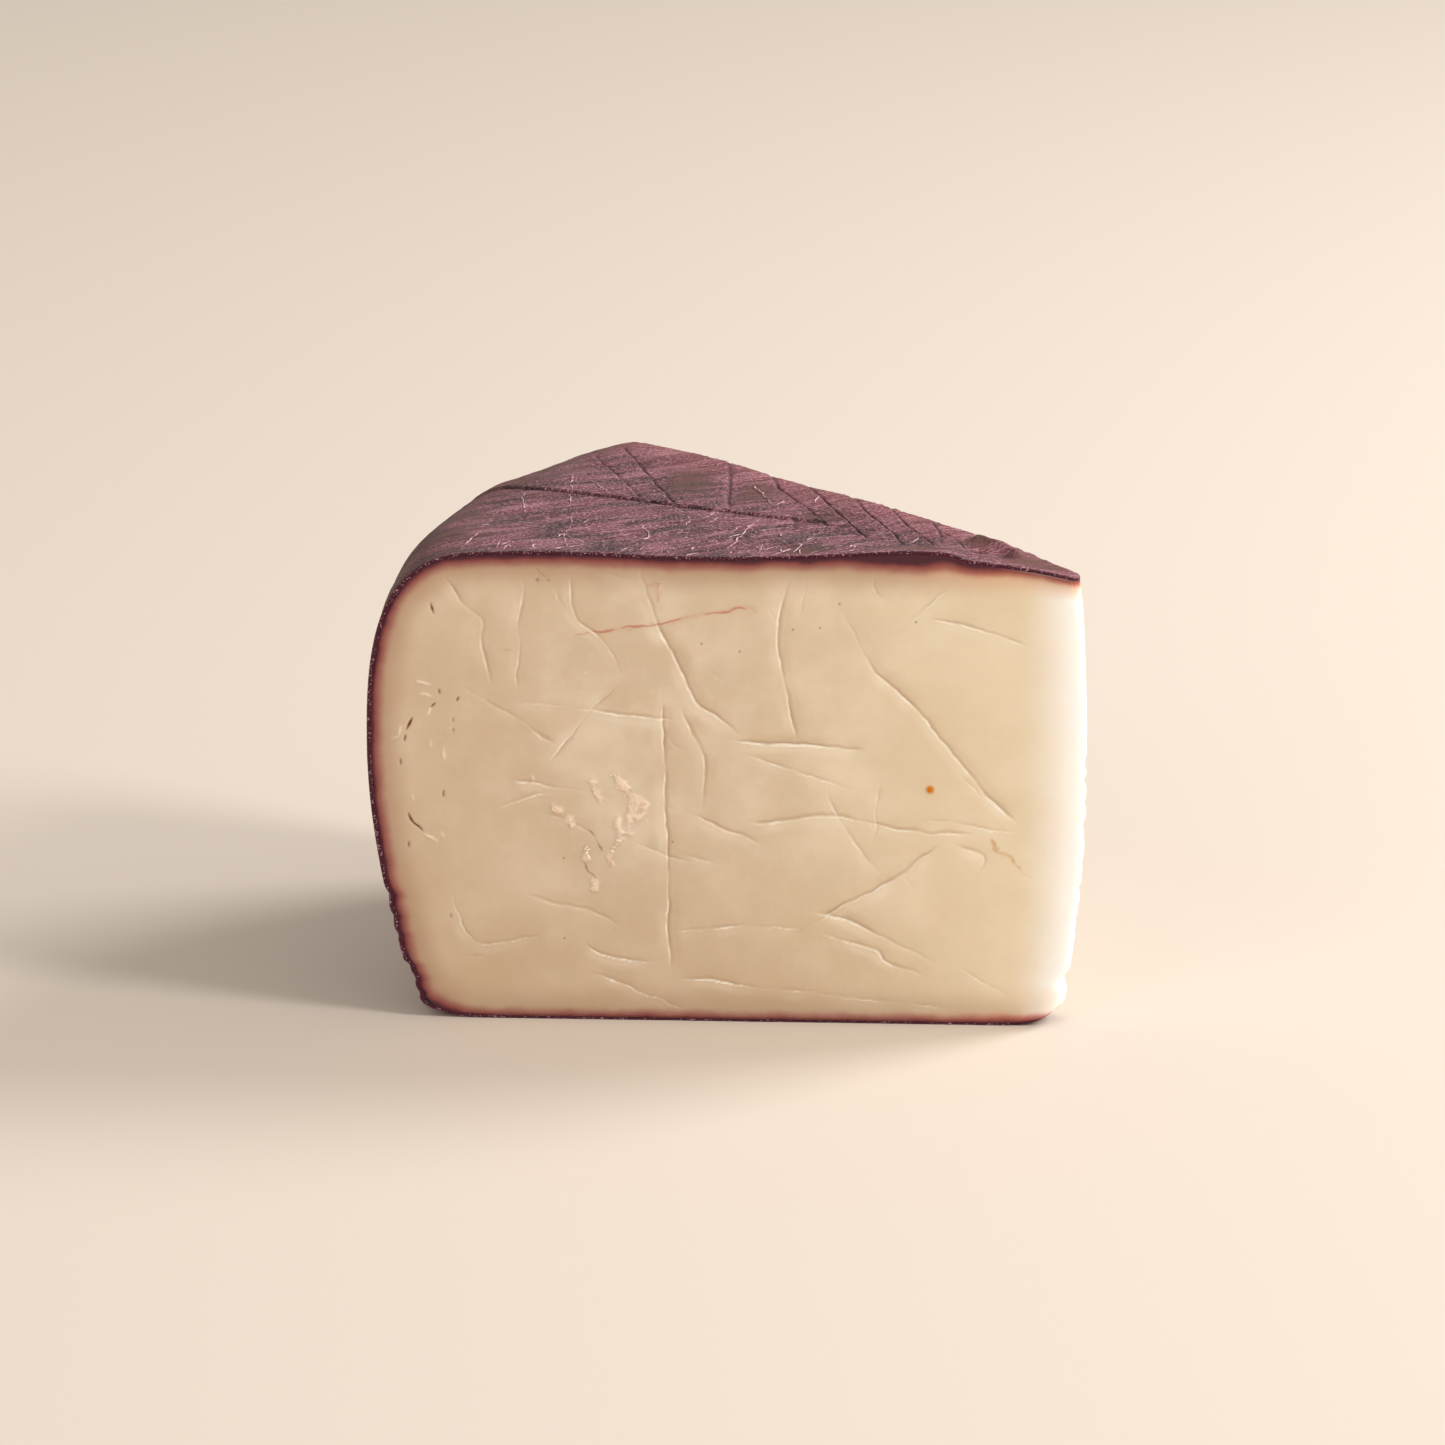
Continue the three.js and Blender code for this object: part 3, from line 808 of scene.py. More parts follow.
# %% Creases of the back cut
def chance_creases(count, seed):
    """Creases for the cut that the photograph doesn't show: short bent lines at seeded places."""
    chance = np.random.default_rng(seed)
    lines = []
    for _ in range(count):
        start = chance.uniform([-38, 5], [40, 60])
        angle, length = chance.uniform(0, math.pi), chance.uniform(5, 26)
        bend = chance.uniform(-0.3, 0.3)
        turns = angle + bend * np.arange(3)
        steps = np.column_stack([np.cos(turns), np.sin(turns)]) * length / 3
        lines.append(np.vstack([start, start + np.cumsum(steps, axis=0)]).clip([-44, 3], [46, 62]))
    return lines


CREASES = {
    "front": [(DEEP_CREASES, DEEP, 21), (FINE_CREASES, FINE, 31)],
    "back": [(chance_creases(13, seed=41), DEEP, 43), (chance_creases(32, seed=51), FINE, 53)],
}
BACK_SLITS = [line[:2] * 0.15 + line[2] * 0.85 for line in chance_creases(14, seed=57)]
print("the back cut has", sum(len(lines) for lines, _, _ in CREASES["back"]), "creases")

# %% One crease
WAVER = {"shift": 0.2, "size": 2.3, "layers": 4}
CREASE_REACH = 6


def wavering(spots, seed):
    """Places moved a little by noise, so that a line drawn between them wavers."""
    both_ways = [rough(spots, WAVER["size"], start, WAVER["layers"]) for start in (seed, seed + 5)]
    return spots + WAVER["shift"] * np.column_stack(both_ways)


def band(distance, middle, width, groove):
    """A soft band beside a line, with its middle and width counted in widths of the groove."""
    return bump(distance + middle * groove, width * groove)


def creased(spots, lines, size, seed):
    """Height of a set of creases at places on a cut, and how much painted shade and painted highlight each
    place gets.

    The groove lies on the upper right of its line, and a thin lip on the lower left, with a painted
    highlight along it."""
    bent = wavering(spots, seed)
    relief, shade, pale = np.zeros((3, len(spots)))
    width = size["width"]
    for points in lines:
        right, up = np.subtract(points[-1], points[0])
        line = smooth_line(points if up > right else points[::-1])
        close = near_line(bent, line, CREASE_REACH)
        distance, to_end = beside_line(bent[close], line)
        strength = smooth_step(to_end, -0.3, 4) * (0.85 + 0.7 * noise(bent[close], 3, seed + 9)).clip(0.2)
        groove, lip = band(distance, 0.6, 1, width), band(distance, -0.7, 0.6, width)
        relief[close] += strength * (size["lip"] * lip - size["depth"] * groove)
        relief[close] -= strength * 0.6 * size["depth"] * band(distance, 3, 4, width)
        # Painted shade: a soft darker band on the groove's upper-right side, turned away from the light from
        # the upper right.
        in_groove = band(distance, 1.2, 1.4, width) + 0.3 * band(distance, 5, 5, width)
        shade[close] = np.maximum(shade[close], strength * in_groove)
        # Painted highlight: a broken bright line along the lit lip on the lower left, and a wide faint band
        # of painted light beside it.
        glint = (0.7 + 0.8 * noise(bent[close], 1.1, seed + 13)).clip(0) * band(distance, -0.7, 0.45, width)
        glow = 0.35 * band(distance, -5, 5, width)
        pale[close] = np.maximum(pale[close], strength * (glint + glow))
    return relief, shade, pale


# %% [markdown]
# ## The paste's mesh
#
# The paste is a second box of squares, bent into the slice just under the rind. Only its two cuts show, so
# its squares are smallest there beside the creases and marks, and what lies under the rind is coarser and
# set a little deeper.

# %% Places of the paste
PASTE_STEPS = (640, 16, 432)
PASTE_BLOCK = 4
ROW_CROWDING = 1.25
HIDDEN_INSET = 0.055


def paste_places(shares):
    along, across, up = shares.T
    radius, height = outline(1)
    level = RIND["foot"] + (WHEEL_HEIGHT - RIND["top"] - RIND["foot"]) * (1 - (1 - up) ** ROW_CROWDING)
    places = slice_places(along, across, np.interp(level, height, radius), level)
    hidden = (across > 0) & (across < 1) & (along > 0)
    places[hidden] += (HEART - places[hidden]) * HIDDEN_INSET
    return places


def cut_spots(plain, on_back):
    """Places on a cut: to the right of its middle, as in the photograph, and above the foot."""
    from_corner = np.where(on_back, np.hypot(*plain[:, :2].T), -plain[:, 0])
    return np.column_stack([CUT_MIDDLE - from_corner, plain[:, 2]])


# %% The paste's mesh
SIDE_STEPS = PASTE_STEPS[::2]
FRONT_CELLS = [(0.5, 1), (1.1, 2), (3, 4)]
BACK_CELLS = [(0.5, 2), (1.2, 4), (3, 8)]


def cut_cells(across, creases, marks, dots, sizes, finest):
    """Largest cell sizes on one cut: small beside its creases and marks, and round its rim.

    Rows of cells run from the thin end to the rind, and columns from the foot to the top."""
    rows, columns = cell_centres(SIDE_STEPS, PASTE_BLOCK)
    middles = paste_places(np.column_stack([rows, np.full(len(rows), across), columns]))
    spots = cut_spots(middles, across == 1)
    distance = nearest_of(spots, marks)
    for lines, _, seed in creases:
        distance = np.minimum(distance, nearest_of(wavering(spots, seed), lines))
    for place in dots:
        distance = np.minimum(distance, np.hypot(*(spots - place).T) - 0.3)
    cells = by_distance(distance, SIDE_STEPS, PASTE_BLOCK, sizes)
    for edge in (cells[-40:], cells[:8], cells[:, :24], cells[:, -40:]):
        np.minimum(edge, 4, out=edge)
    for edge in (cells[-12:], cells[:, :12], cells[:, -12:]):
        np.minimum(edge, finest, out=edge)
    return cells


front_marks = SLITS + SCUFFS + CRUMB_LINES + PATCH_CRACKS + AMBER_CRACKS + STAIN_LINES
front_cells = cut_cells(0, CREASES["front"], front_marks, SPECKS + [AMBER_BEAD["at"]], FRONT_CELLS, finest=2)
back_cells = cut_cells(1, CREASES["back"], BACK_SLITS, [], BACK_CELLS, finest=4)
shares, paste_faces = curved_box(PASTE_STEPS, {
    (0, 0): 2, (0, 1): 16, (1, 0): front_cells, (1, 1): back_cells, (2, 0): 16, (2, 1): 2,
})
plain = paste_places(shares)
paste_mm = worn(plain)
on_front, on_back = shares[:, 1] == 0, shares[:, 1] == 1
spots = cut_spots(plain, on_back)
print("the paste has", len(paste_mm), "vertices")

# %% [markdown]
# ## The paste's relief
#
# Creases, crumbs and slow swells are added up into one height over each cut. Beside the height, each
# crease leaves two numbers at the vertices: painted shade on the groove's upper-right side and a painted
# highlight along its lit lip, because a shallow groove in pale cheese shows more by its tint than by its
# shadow.

# %% The paste's relief
relief, shade, pale = np.zeros((3, len(shares)))
for face, creases in ((on_front, CREASES["front"]), (on_back, CREASES["back"])):
    for lines, size, seed in creases:
        height, dark, light = creased(spots[face], lines, size, seed)
        relief[face] += height
        shade[face] = np.maximum(shade[face], dark * size["depth"] / DEEP["depth"])
        pale[face] = np.maximum(pale[face], light)

crumbly = smooth_step(nearest_of(spots, CRUMB_LINES) + 0.45 * rough(spots, 0.8, 61), 0.75, 0) * on_front
relief += crumbly * (0.14 * rough(spots, 0.7, 62) + 0.12)
relief += 0.12 * noise(spots, 17, 63) + 0.07 * noise(spots, 6, 64) + 0.025 * noise(spots, 2.4, 65)
print("the creases go down to", round(relief.min(), 2), "mm")

# %% Slits, scuffs and the bead
def line_marks(lines, width, patchy, seed, face=on_front):
    """Strength of thin marks along lines on one of the cuts. Patchy ones are broken up by noise."""
    total = np.zeros(len(spots))
    bent = spots + patchy * 0.4 * rough(spots, 2, seed)[:, None]
    broken = np.clip(0.65 + 0.7 * rough(spots, 1.6, seed + 1), 0, 1) * patchy + (1 - patchy)
    for points in lines:
        line = smooth_line(points)
        close = near_line(bent, line, 3)
        distance, to_end = beside_line(bent[close], line)
        mark = bump(distance, width) * broken[close] * smooth_step(to_end, -1, 1)
        total[close] = np.maximum(total[close], mark)
    return total * face


def spot_marks(places, radius):
    near = [bump(np.hypot(*(spots - place).T), radius) for place in places]
    return np.max(near, axis=0) * on_front


# The slits' dark brown is partly their own colour and partly painted shade inside the openings; the specks
# are real dark specks.
slits = np.maximum(line_marks(SLITS, 0.19, patchy=0.25, seed=66), spot_marks(SPECKS, 0.17) * 0.6)
slits = np.maximum(slits, line_marks(BACK_SLITS, 0.19, patchy=0.25, seed=66, face=on_back))
scuffs = line_marks(SCUFFS, 0.2, patchy=0.8, seed=68)
bead = spot_marks([AMBER_BEAD["at"]], AMBER_BEAD["radius"])
relief += 0.22 * bead + 0.1 * scuffs - 0.2 * slits
print("the marks cover", round(100 * np.mean(slits[on_front] > 0.3), 2), "% of the front cut's vertices")

# %% The paste as a piece
CUT_INSET = 0.25
CUTS_APART = 70


def to_skin(plain):
    """Distance of each place to the rind's outer face, measured in the cut's own plane."""
    spots = np.column_stack([np.hypot(*(plain[:, :2] - WHEEL_MIDDLE).T), plain[:, 2]])
    radius, height = outline(0, count=24)
    line = np.column_stack([np.append(radius, -20), np.append(height, WHEEL_HEIGHT)])
    distance, _ = beside_line(spots, np.vstack([[-20, 0], line]))
    return np.abs(distance)


inward = smooth_step(to_skin(plain), 0.4, 2.4)
thin_end = smooth_step(np.hypot(plain[:, 0], plain[:, 1]), NOSE_GAP + 1, NOSE_GAP + 5)
_, outward = nose_plan(shares[:, 1])
cut = on_front | on_back
paste_mm[cut, :2] += outward[cut] * ((relief - CUT_INSET) * inward * thin_end)[cut, None]

foot_only = smooth_step(spots[:, 1], 7, 2) * smooth_step(spots[:, 0], -40, -34)
lifted = bump(spots[:, 0] - CUT_MIDDLE + 25, 7) * smooth_step(spots[:, 1], 50, 60)
tip = smooth_step(spots[:, 0], 32, 42) * smooth_step(spots[:, 1], 48, 58)
stain_line = line_marks(STAIN_LINES, 0.14, patchy=0.8, seed=71)
paste = make_piece("paste", in_box(paste_mm + corner), paste_faces, {
    "soak": to_skin(plain) + 0.7 * foot_only + 0.6 * tip - 0.9 * lifted,
    "foot": foot_only,
    "cut": np.column_stack([spots, shares[:, 1] * CUTS_APART]),
    "blush": np.maximum(stain_line, 0.35 * line_marks(STAIN_LINES, 0.4, patchy=0.9, seed=77)),
    "amber": line_marks(AMBER_CRACKS, 0.3, patchy=1, seed=73) * 0.6,
    "bead": bead,
    "slits": np.maximum(slits, 0.8 * line_marks(PATCH_CRACKS, 0.22, patchy=0.6, seed=75)),
    # Painted shade beside each crease's groove, and painted highlight along its lit lip; the pale value also
    # holds the real scuffs.
    "shade": shade * cut,
    "pale": np.maximum(pale * 0.75, scuffs),
    "crumbly": crumbly,
})
print("the paste has", triangles_of(paste), "triangles")

# %% [markdown]
# ## Adding nodes
#
# A material is a small network of nodes. The first helpers turn a colour into the values that shaders
# use, add one node with all its inputs, and fetch the numbers that the mesh keeps at its vertices.

# %% Adding nodes
def colour(red, green, blue):
    """A colour as a picture editor shows it (0 to 255), in the linear values that shaders use."""
    shares = np.array([red, green, blue]) / 255
    linear = np.where(shares <= 0.04045, shares / 12.92, ((shares + 0.055) / 1.055) ** 2.4)
    return (*linear.tolist(), 1)


def plug(tree, socket, value):
    """Links a socket to another, or sets it to a constant."""
    if isinstance(value, bpy.types.NodeSocket):
        tree.links.new(value, socket)
    else:
        socket.default_value = value


def plug_all(tree, made, values):
    """Fills several inputs of a node, each by its name or number."""
    for name, value in values.items():
        plug(tree, made.inputs[name], value)


def node(tree, kind, inputs, **settings):
    """A new node. Its inputs are given by name or by number."""
    made = tree.nodes.new(kind)
    for name, value in settings.items():
        setattr(made, name, value)
    plug_all(tree, made, inputs)
    return made


def number_of(tree, name):
    """A number that the mesh keeps at its vertices."""
    return node(tree, "ShaderNodeAttribute", {}, attribute_name=name).outputs["Fac"]


def vector_of(tree, name):
    """A vector that the mesh keeps at its vertices."""
    return node(tree, "ShaderNodeAttribute", {}, attribute_name=name).outputs["Vector"]


# %% [markdown]
# ## Steps of a recipe
#
# Most of a finish is made of a few steps: blend two tints, fade one thing in where a number rises,
# add a soft noise. Each helper is one such step and gives back the socket with its result, so that a
# material reads like a recipe.

# %% Steps of a recipe
def blend(tree, share, first, second):
    return node(tree, "ShaderNodeMix", {0: share, 6: first, 7: second}, data_type="RGBA").outputs[2]


def sums(tree, how, first, second=0.0):
    return node(tree, "ShaderNodeMath", {0: first, 1: second}, operation=how).outputs[0]


def times(tree, first, second):
    """One number multiplied by another."""
    return sums(tree, "MULTIPLY", first, second)


def layered(tree, base, layers):
    """Tints laid over a base one after another. Each layer is a share, a tint and a strength."""
    for share, tint, strength in layers:
        base = blend(tree, times(tree, share, strength), base, tint)
    return base


def fade(tree, value, start, end):
    """Smoothly from 0 at the start to 1 at the end."""
    inputs = {"Value": value, "From Min": start, "From Max": end}
    return node(tree, "ShaderNodeMapRange", inputs, interpolation_type="SMOOTHSTEP").outputs[0]


def texture(tree, vector, scale, detail=2.0, roughness=0.5):
    inputs = {"Vector": vector, "Scale": scale, "Detail": detail, "Roughness": roughness}
    return node(tree, "ShaderNodeTexNoise", inputs).outputs["Fac"]


def vector_math(tree, how, inputs):
    return node(tree, "ShaderNodeVectorMath", inputs, operation=how).outputs[0]


def scaled(tree, vector, *sizes):
    return vector_math(tree, "MULTIPLY", {0: vector, 1: sizes})


def new_material(name):
    material = bpy.data.materials.new(name)
    material.use_nodes = True
    tree = material.node_tree
    place = tree.nodes.new("ShaderNodeTexCoord").outputs["Object"]
    return material, tree, tree.nodes["Principled BSDF"], place


# %% [markdown]
# ## The paste's material
#
# Goat cheese is ivory, but not evenly so. It is clouded all over. It is darker and warmer at the left
# and at the foot, as painted shade, paler and the colour of straw towards the thin end, as painted light,
# and almost white at its edge, as a painted glow. Tints laid over each other in layers, each with its own
# fade, give such slow changes without an image.

# %% The ivory of the cuts
# Besides the paste's own tones, the warm tint serves as painted shade at the left and low down, the foot
# tint is painted shade at the foot, the straw tint is painted light towards the thin end, and the near-white
# tint is a painted glow at the thin end's edge.
IVORY = {
    "cream": colour(217, 198, 173), "haze": colour(235, 221, 202), "warm": colour(208, 181, 149),
    "highlight_and_scuff": colour(248, 240, 229), "straw": colour(238, 226, 197), "painted_glow": colour(255, 253, 252),
    "foot": colour(170, 142, 112),
}


def ivory_ground(tree, cut, across, up):
    """The ivory paste by its places on the cut, across from the middle and up from the foot."""
    clouds = fade(tree, texture(tree, cut, 0.09, 4, 0.55), 0.38, 0.7)
    warm_clouds = fade(tree, texture(tree, scaled(tree, cut, 0.05, 0.09, 0.1), 1, 3, 0.6), 0.45, 0.75)
    mottle = fade(tree, texture(tree, cut, 0.6, 3, 0.55), 0.5, 0.8)
    left, lit_towards_end = fade(tree, across, -14, -44), fade(tree, across, -10, 40)
    shaded_low_left = times(tree, fade(tree, up, 30, 2), fade(tree, across, 46, 0))
    return layered(tree, IVORY["cream"], [
        (clouds, IVORY["haze"], 0.7),
        (warm_clouds, IVORY["warm"], 0.3),
        (mottle, IVORY["haze"], 0.2),
        # Painted shade: darker and warmer at the left, away from the lamps on the right.
        (left, IVORY["warm"], 0.35),
        # Painted light: paler and yellower towards the thin end, where the light from the right falls.
        (lit_towards_end, IVORY["straw"], 0.55),
        # Painted shade: darker and warmer low on the left, and a darker brown band at the foot.
        (shaded_low_left, IVORY["warm"], 0.5),
        (fade(tree, up, 5, 0), IVORY["foot"], 0.5),
        # Painted glow: almost white at the thin end's edge, where light shines through it.
        (fade(tree, across, 38.5, 47), IVORY["painted_glow"], 1.0),
    ])


print("the paste is mixed from", len(IVORY), "ivories")

# %% [markdown]
# ## Marks and wine in the paste
#
# The marks of the cut take their own tints: grooves get painted shade, lips a painted highlight, scuffs
# are paler, slits brown, partly as painted shade inside them, and the bead amber. The wine soaked in from
# the rind. Next to it the paste is maroon, then pink and tan, and after about six millimetres it is ivory
# again. The thin end took up more of it, and redder.

# %% Tints of the marks and of the wine
# The shade tint is painted shade in the grooves. The pale tint is a painted highlight along the lips as well
# as the colour of the real scuffs. The slits' brown is partly their own colour and partly painted shade
# inside them.
MARKS = {
    "shade": (colour(200, 166, 128), 0.3), "blush": (colour(198, 114, 88), 0.7),
    "amber": (colour(206, 156, 92), 0.8), "bead": (colour(206, 124, 26), 1.0),
    "crumbly": (colour(252, 228, 208), 0.6), "pale": (IVORY["highlight_and_scuff"], 0.65),
    "slits": (colour(112, 54, 20), 0.95),
}
STAINS = {
    "maroon": colour(72, 10, 32), "wine": colour(140, 60, 62), "pink": colour(180, 127, 110),
    "tan": colour(183, 147, 120), "red": colour(202, 108, 82), "peach": colour(226, 182, 148),
}


def marked(tree, base):
    """The marks over the paste, each where the mesh keeps its number."""
    return layered(tree, base, [
        (fade(tree, number_of(tree, name), 0.05, 0.8), tint, strength)
        for name, (tint, strength) in MARKS.items()
    ])


def soaked_in(tree, base, cut, across):
    """The wine over the paste, by how far each place lies from the rind."""
    uneven = times(tree, texture(tree, cut, 0.22, 5, 0.55), 1.2)
    soaked = sums(tree, "ADD", number_of(tree, "soak"), sums(tree, "SUBTRACT", 0.6, uneven))
    at_end = fade(tree, across, 18, 42)
    wash = blend(tree, at_end, STAINS["tan"], STAINS["peach"])
    rim = blend(tree, at_end, STAINS["pink"], STAINS["red"])
    washed = sums(tree, "SUBTRACT", 0.78, times(tree, number_of(tree, "foot"), 0.6))
    return layered(tree, base, [
        (fade(tree, soaked, 6, 1.4), wash, washed),
        (fade(tree, soaked, 2.8, 1.1), rim, 0.9),
        (fade(tree, soaked, 2.4, 0.8), STAINS["wine"], 1.0),
        (fade(tree, soaked, 1.3, 0.6), STAINS["maroon"], 1.0),
    ])


print("the paste has", len(MARKS), "kinds of marks and", len(STAINS), "tints of wine")

# %% [markdown]
# ## Light in the paste
#
# The paste is a little see-through, so light that enters it comes out again nearby, warmer than
# before. That softens the creases and makes the thin end glow. The slits and the bead let no light
# through, because they would turn grey. A fine bump gives the matt surface of fresh curd.

# %% Ivory paste with a wine stain
GLOW = {"Subsurface Radius": (1, 0.8, 0.64), "Subsurface Scale": 0.0016}
CURD_GRAIN = 0.00002


def paste_material():
    material, tree, shader, place = new_material("goat cheese paste")
    cut = vector_of(tree, "cut")
    across, up, _ = node(tree, "ShaderNodeSeparateXYZ", {0: cut}).outputs
    base = soaked_in(tree, marked(tree, ivory_ground(tree, cut, across, up)), cut, across)
    grain = texture(tree, place, 1400, 3, 0.6)
    pits = texture(tree, place, 420, 2, 0.5)
    height = sums(tree, "ADD", grain, times(tree, pits, 1.2))
    rubbed = sums(tree, "ADD", times(tree, number_of(tree, "crumbly"), 6), 1)
    relief = node(tree, "ShaderNodeBump", {"Height": times(tree, height, rubbed), "Distance": CURD_GRAIN})
    solid = sums(tree, "MAXIMUM", number_of(tree, "slits"), number_of(tree, "bead"))
    see_through = sums(tree, "SUBTRACT", 1.0, fade(tree, solid, 0.1, 0.6))
    plug_all(tree, shader, {
        "Base Color": base,
        "Normal": relief.outputs[0],
        "Roughness": sums(tree, "ADD", 0.36, times(tree, pits, 0.2)),
        "Specular IOR Level": times(tree, see_through, 0.45),
        "Subsurface Weight": see_through,
        **GLOW,
    })
    return material


paste.data.materials.append(paste_material())
print("the paste's material has", len(paste.data.materials[0].node_tree.nodes), "nodes")

# %% [markdown]
# ## The rind's material
#
# The rind is dry and velvety, and dark purple where the wine pooled. Fibres and a fine grain lie
# lighter on top in lilac, partly the rind's own speckle and partly painted sheen highlight. It is rubbed to
# a brownish grey on the shoulder, redder towards the back cut, where painted light also lightens it, and
# the bottom of a fold gets painted shade, almost black. Where the knife went through it, it is a
# moist maroon with pale specks.

# %% Purple rind
SKIN = {
    # In the rind's tints, the hollow one is painted shade at the bottom of the folds and in the pits, the
    # lilac is partly a painted sheen highlight, and the flush is partly painted light.
    "plum": colour(102, 46, 60), "dark": colour(42, 11, 17), "lilac_and_sheen": colour(234, 182, 196),
    "bare": colour(98, 70, 58), "flush_and_light": colour(156, 84, 90), "lip": colour(64, 9, 30),
    "speck": colour(214, 160, 180), "hollow": colour(40, 16, 26), "sheen": colour(226, 190, 200),
}
SKIN_GRAIN = 0.00012


def rind_material():
    material, tree, shader, place = new_material("wine rind")
    fibres = vector_of(tree, "fibres")
    streaks = texture(tree, scaled(tree, fibres, 0.16, 2.1, 1), 1, 6, 0.7)
    patches = texture(tree, scaled(tree, fibres, 0.12, 0.25, 0.2), 1, 4, 0.6)
    grain = texture(tree, place, 2600, 3, 0.75)
    # The lilac is partly the rind's own speckle and partly painted sheen highlight along the fibres.
    lit = times(tree, fade(tree, streaks, 0.48, 0.66), fade(tree, patches, 0.32, 0.6))
    speckle = times(tree, fade(tree, grain, 0.5, 0.66), sums(tree, "ADD", 0.1, patches))
    lilac_and_sheen = sums(tree, "MAXIMUM", times(tree, lit, 0.45), speckle)
    bare, depth = number_of(tree, "bare"), number_of(tree, "depth")
    covered = sums(tree, "SUBTRACT", 1.0, times(tree, bare, 0.75))
    in_lip = fade(tree, depth, 0.02, 0.3)
    dots = fade(tree, texture(tree, place, 3600, 2, 0.7), 0.58, 0.68)
    lip = blend(tree, times(tree, dots, fade(tree, depth, 1.2, 0.3)), SKIN["lip"], SKIN["speck"])
    base = layered(tree, SKIN["dark"], [
        (fade(tree, patches, 0.38, 0.58), SKIN["plum"], 1.0),
        (number_of(tree, "flush_and_light"), SKIN["flush_and_light"], 0.55),
        (lilac_and_sheen, SKIN["lilac_and_sheen"], covered),
        (bare, SKIN["bare"], fade(tree, streaks, 0.8, 0.35)),
        (fade(tree, streaks, 0.46, 0.3), SKIN["dark"], 0.8),
        (fade(tree, grain, 0.46, 0.32), SKIN["dark"], 0.7),
        # Painted shade at the bottoms of the folds and in the pits.
        (number_of(tree, "hollow"), SKIN["hollow"], 0.7),
        (in_lip, lip, 1.0),
    ])
    height = sums(tree, "ADD", times(tree, streaks, 3), grain)
    relief = node(tree, "ShaderNodeBump", {"Height": height, "Distance": SKIN_GRAIN, "Strength": 1.0})
    plug_all(tree, shader, {
        "Base Color": base,
        "Normal": relief.outputs[0],
        "Roughness": sums(tree, "SUBTRACT", 0.6, times(tree, in_lip, 0.2)),
        "Specular IOR Level": 0.28,
        "Sheen Weight": 0.05,
        "Sheen Roughness": 0.45,
        "Sheen Tint": SKIN["sheen"],
    })
    return material


rind.data.materials.append(rind_material())
print("the rind's material has", len(rind.data.materials[0].node_tree.nodes), "nodes")

# %% [markdown]
# ## Pale cracks over the rind
#
# Where a fold was rubbed, the dry skin cracked and its pale inside shows as a thin raised line. Each line
# is a thread laid over the surface. Geometry Nodes is the right tool for it: the tree turns every row of
# edges into a curve, gives it a radius that swells and fades, and sweeps a small round profile along it.

# %% Threads along the ridges
def on_rind(plan):
    """Places on the worn rind, from points given from the sharp corner along and behind the front cut."""
    plan = np.asarray(plan, float) * [-1, 1]
    radius, height = (values[:-OUTLINE_POINTS:-1] for values in outline(0))
    level = np.interp(np.hypot(*(plan - WHEEL_MIDDLE).T), radius, height)
    return worn(np.column_stack([plan, level]))


def new_tree(name, settings):
    """A Geometry Nodes tree with the named settings as inputs, and the sockets that give them."""
    tree = bpy.data.node_groups.new(name, "GeometryNodeTree")
    for label, kind in {"Geometry": "Geometry", **settings}.items():
        tree.interface.new_socket(label, in_out="INPUT", socket_type="NodeSocket" + kind)
    tree.interface.new_socket("Geometry", in_out="OUTPUT", socket_type="NodeSocketGeometry")
    return tree, node(tree, "NodeGroupInput", {}).outputs


def kept_number(tree, name):
    """A number that the points carry with them into the node tree."""
    return node(tree, "GeometryNodeInputNamedAttribute", {"Name": name}, data_type="FLOAT").outputs[0]


def thread_tree(material):
    tree, given = new_tree("threads along edges", {"Radius": "Float", "Seed": "Int"})
    curves = node(tree, "GeometryNodeMeshToCurve", {0: given["Geometry"]}).outputs[0]
    least_to_most = {2: 0.25, 3: 1.0, "Seed": given["Seed"]}
    uneven = node(tree, "FunctionNodeRandomValue", least_to_most, data_type="FLOAT").outputs[1]
    width = times(tree, kept_number(tree, "width"), uneven)
    ring = node(tree, "GeometryNodeCurvePrimitiveCircle", {"Resolution": 6, "Radius": 1.0}).outputs[0]
    radius = times(tree, width, given["Radius"])
    tube = node(tree, "GeometryNodeCurveToMesh", {
        "Curve": curves, "Profile Curve": ring, "Scale": radius, "Fill Caps": True,
    })
    whole = node(tree, "GeometryNodeRealizeInstances", {0: tube.outputs[0]}).outputs[0]
    dressed = node(tree, "GeometryNodeSetMaterial", {"Geometry": whole, "Material": material}).outputs[0]
    node(tree, "NodeGroupOutput", {0: dressed})
    return tree


# %% [markdown]
# ## From a node tree to a mesh
#
# A modifier only shows its result. A piece has to be a plain mesh of its own, so the tree is run
# once, its result is copied into a new mesh, and the bare points with their modifier are thrown away.

# %% Growing a mesh from points
def grown(name, places, edges, values, tree, settings):
    """A mesh that a node tree makes from bare points and edges, in the box and without a modifier."""
    seedling = make_piece(name + " seedling", places, [], values, edges)
    modifier = seedling.modifiers.new("nodes", "NODES")
    modifier.node_group = tree
    for item in tree.interface.items_tree:
        if item.in_out == "INPUT" and item.name in settings:
            modifier[item.identifier] = settings[item.name]
    evaluated = seedling.evaluated_get(bpy.context.evaluated_depsgraph_get())
    mesh = bpy.data.meshes.new_from_object(evaluated)
    grown_places = np.empty(len(mesh.vertices) * 3, np.float32)
    mesh.vertices.foreach_get("co", grown_places)
    inside = np.clip(grown_places.reshape(-1, 3), box_low * MM, box_high * MM)
    mesh.vertices.foreach_set("co", inside.ravel())
    seedling.modifiers.remove(modifier)
    bpy.data.objects.remove(seedling)
    mesh.name = name
    piece = bpy.data.objects.new(name, mesh)
    bpy.context.scene.collection.objects.link(piece)
    return piece


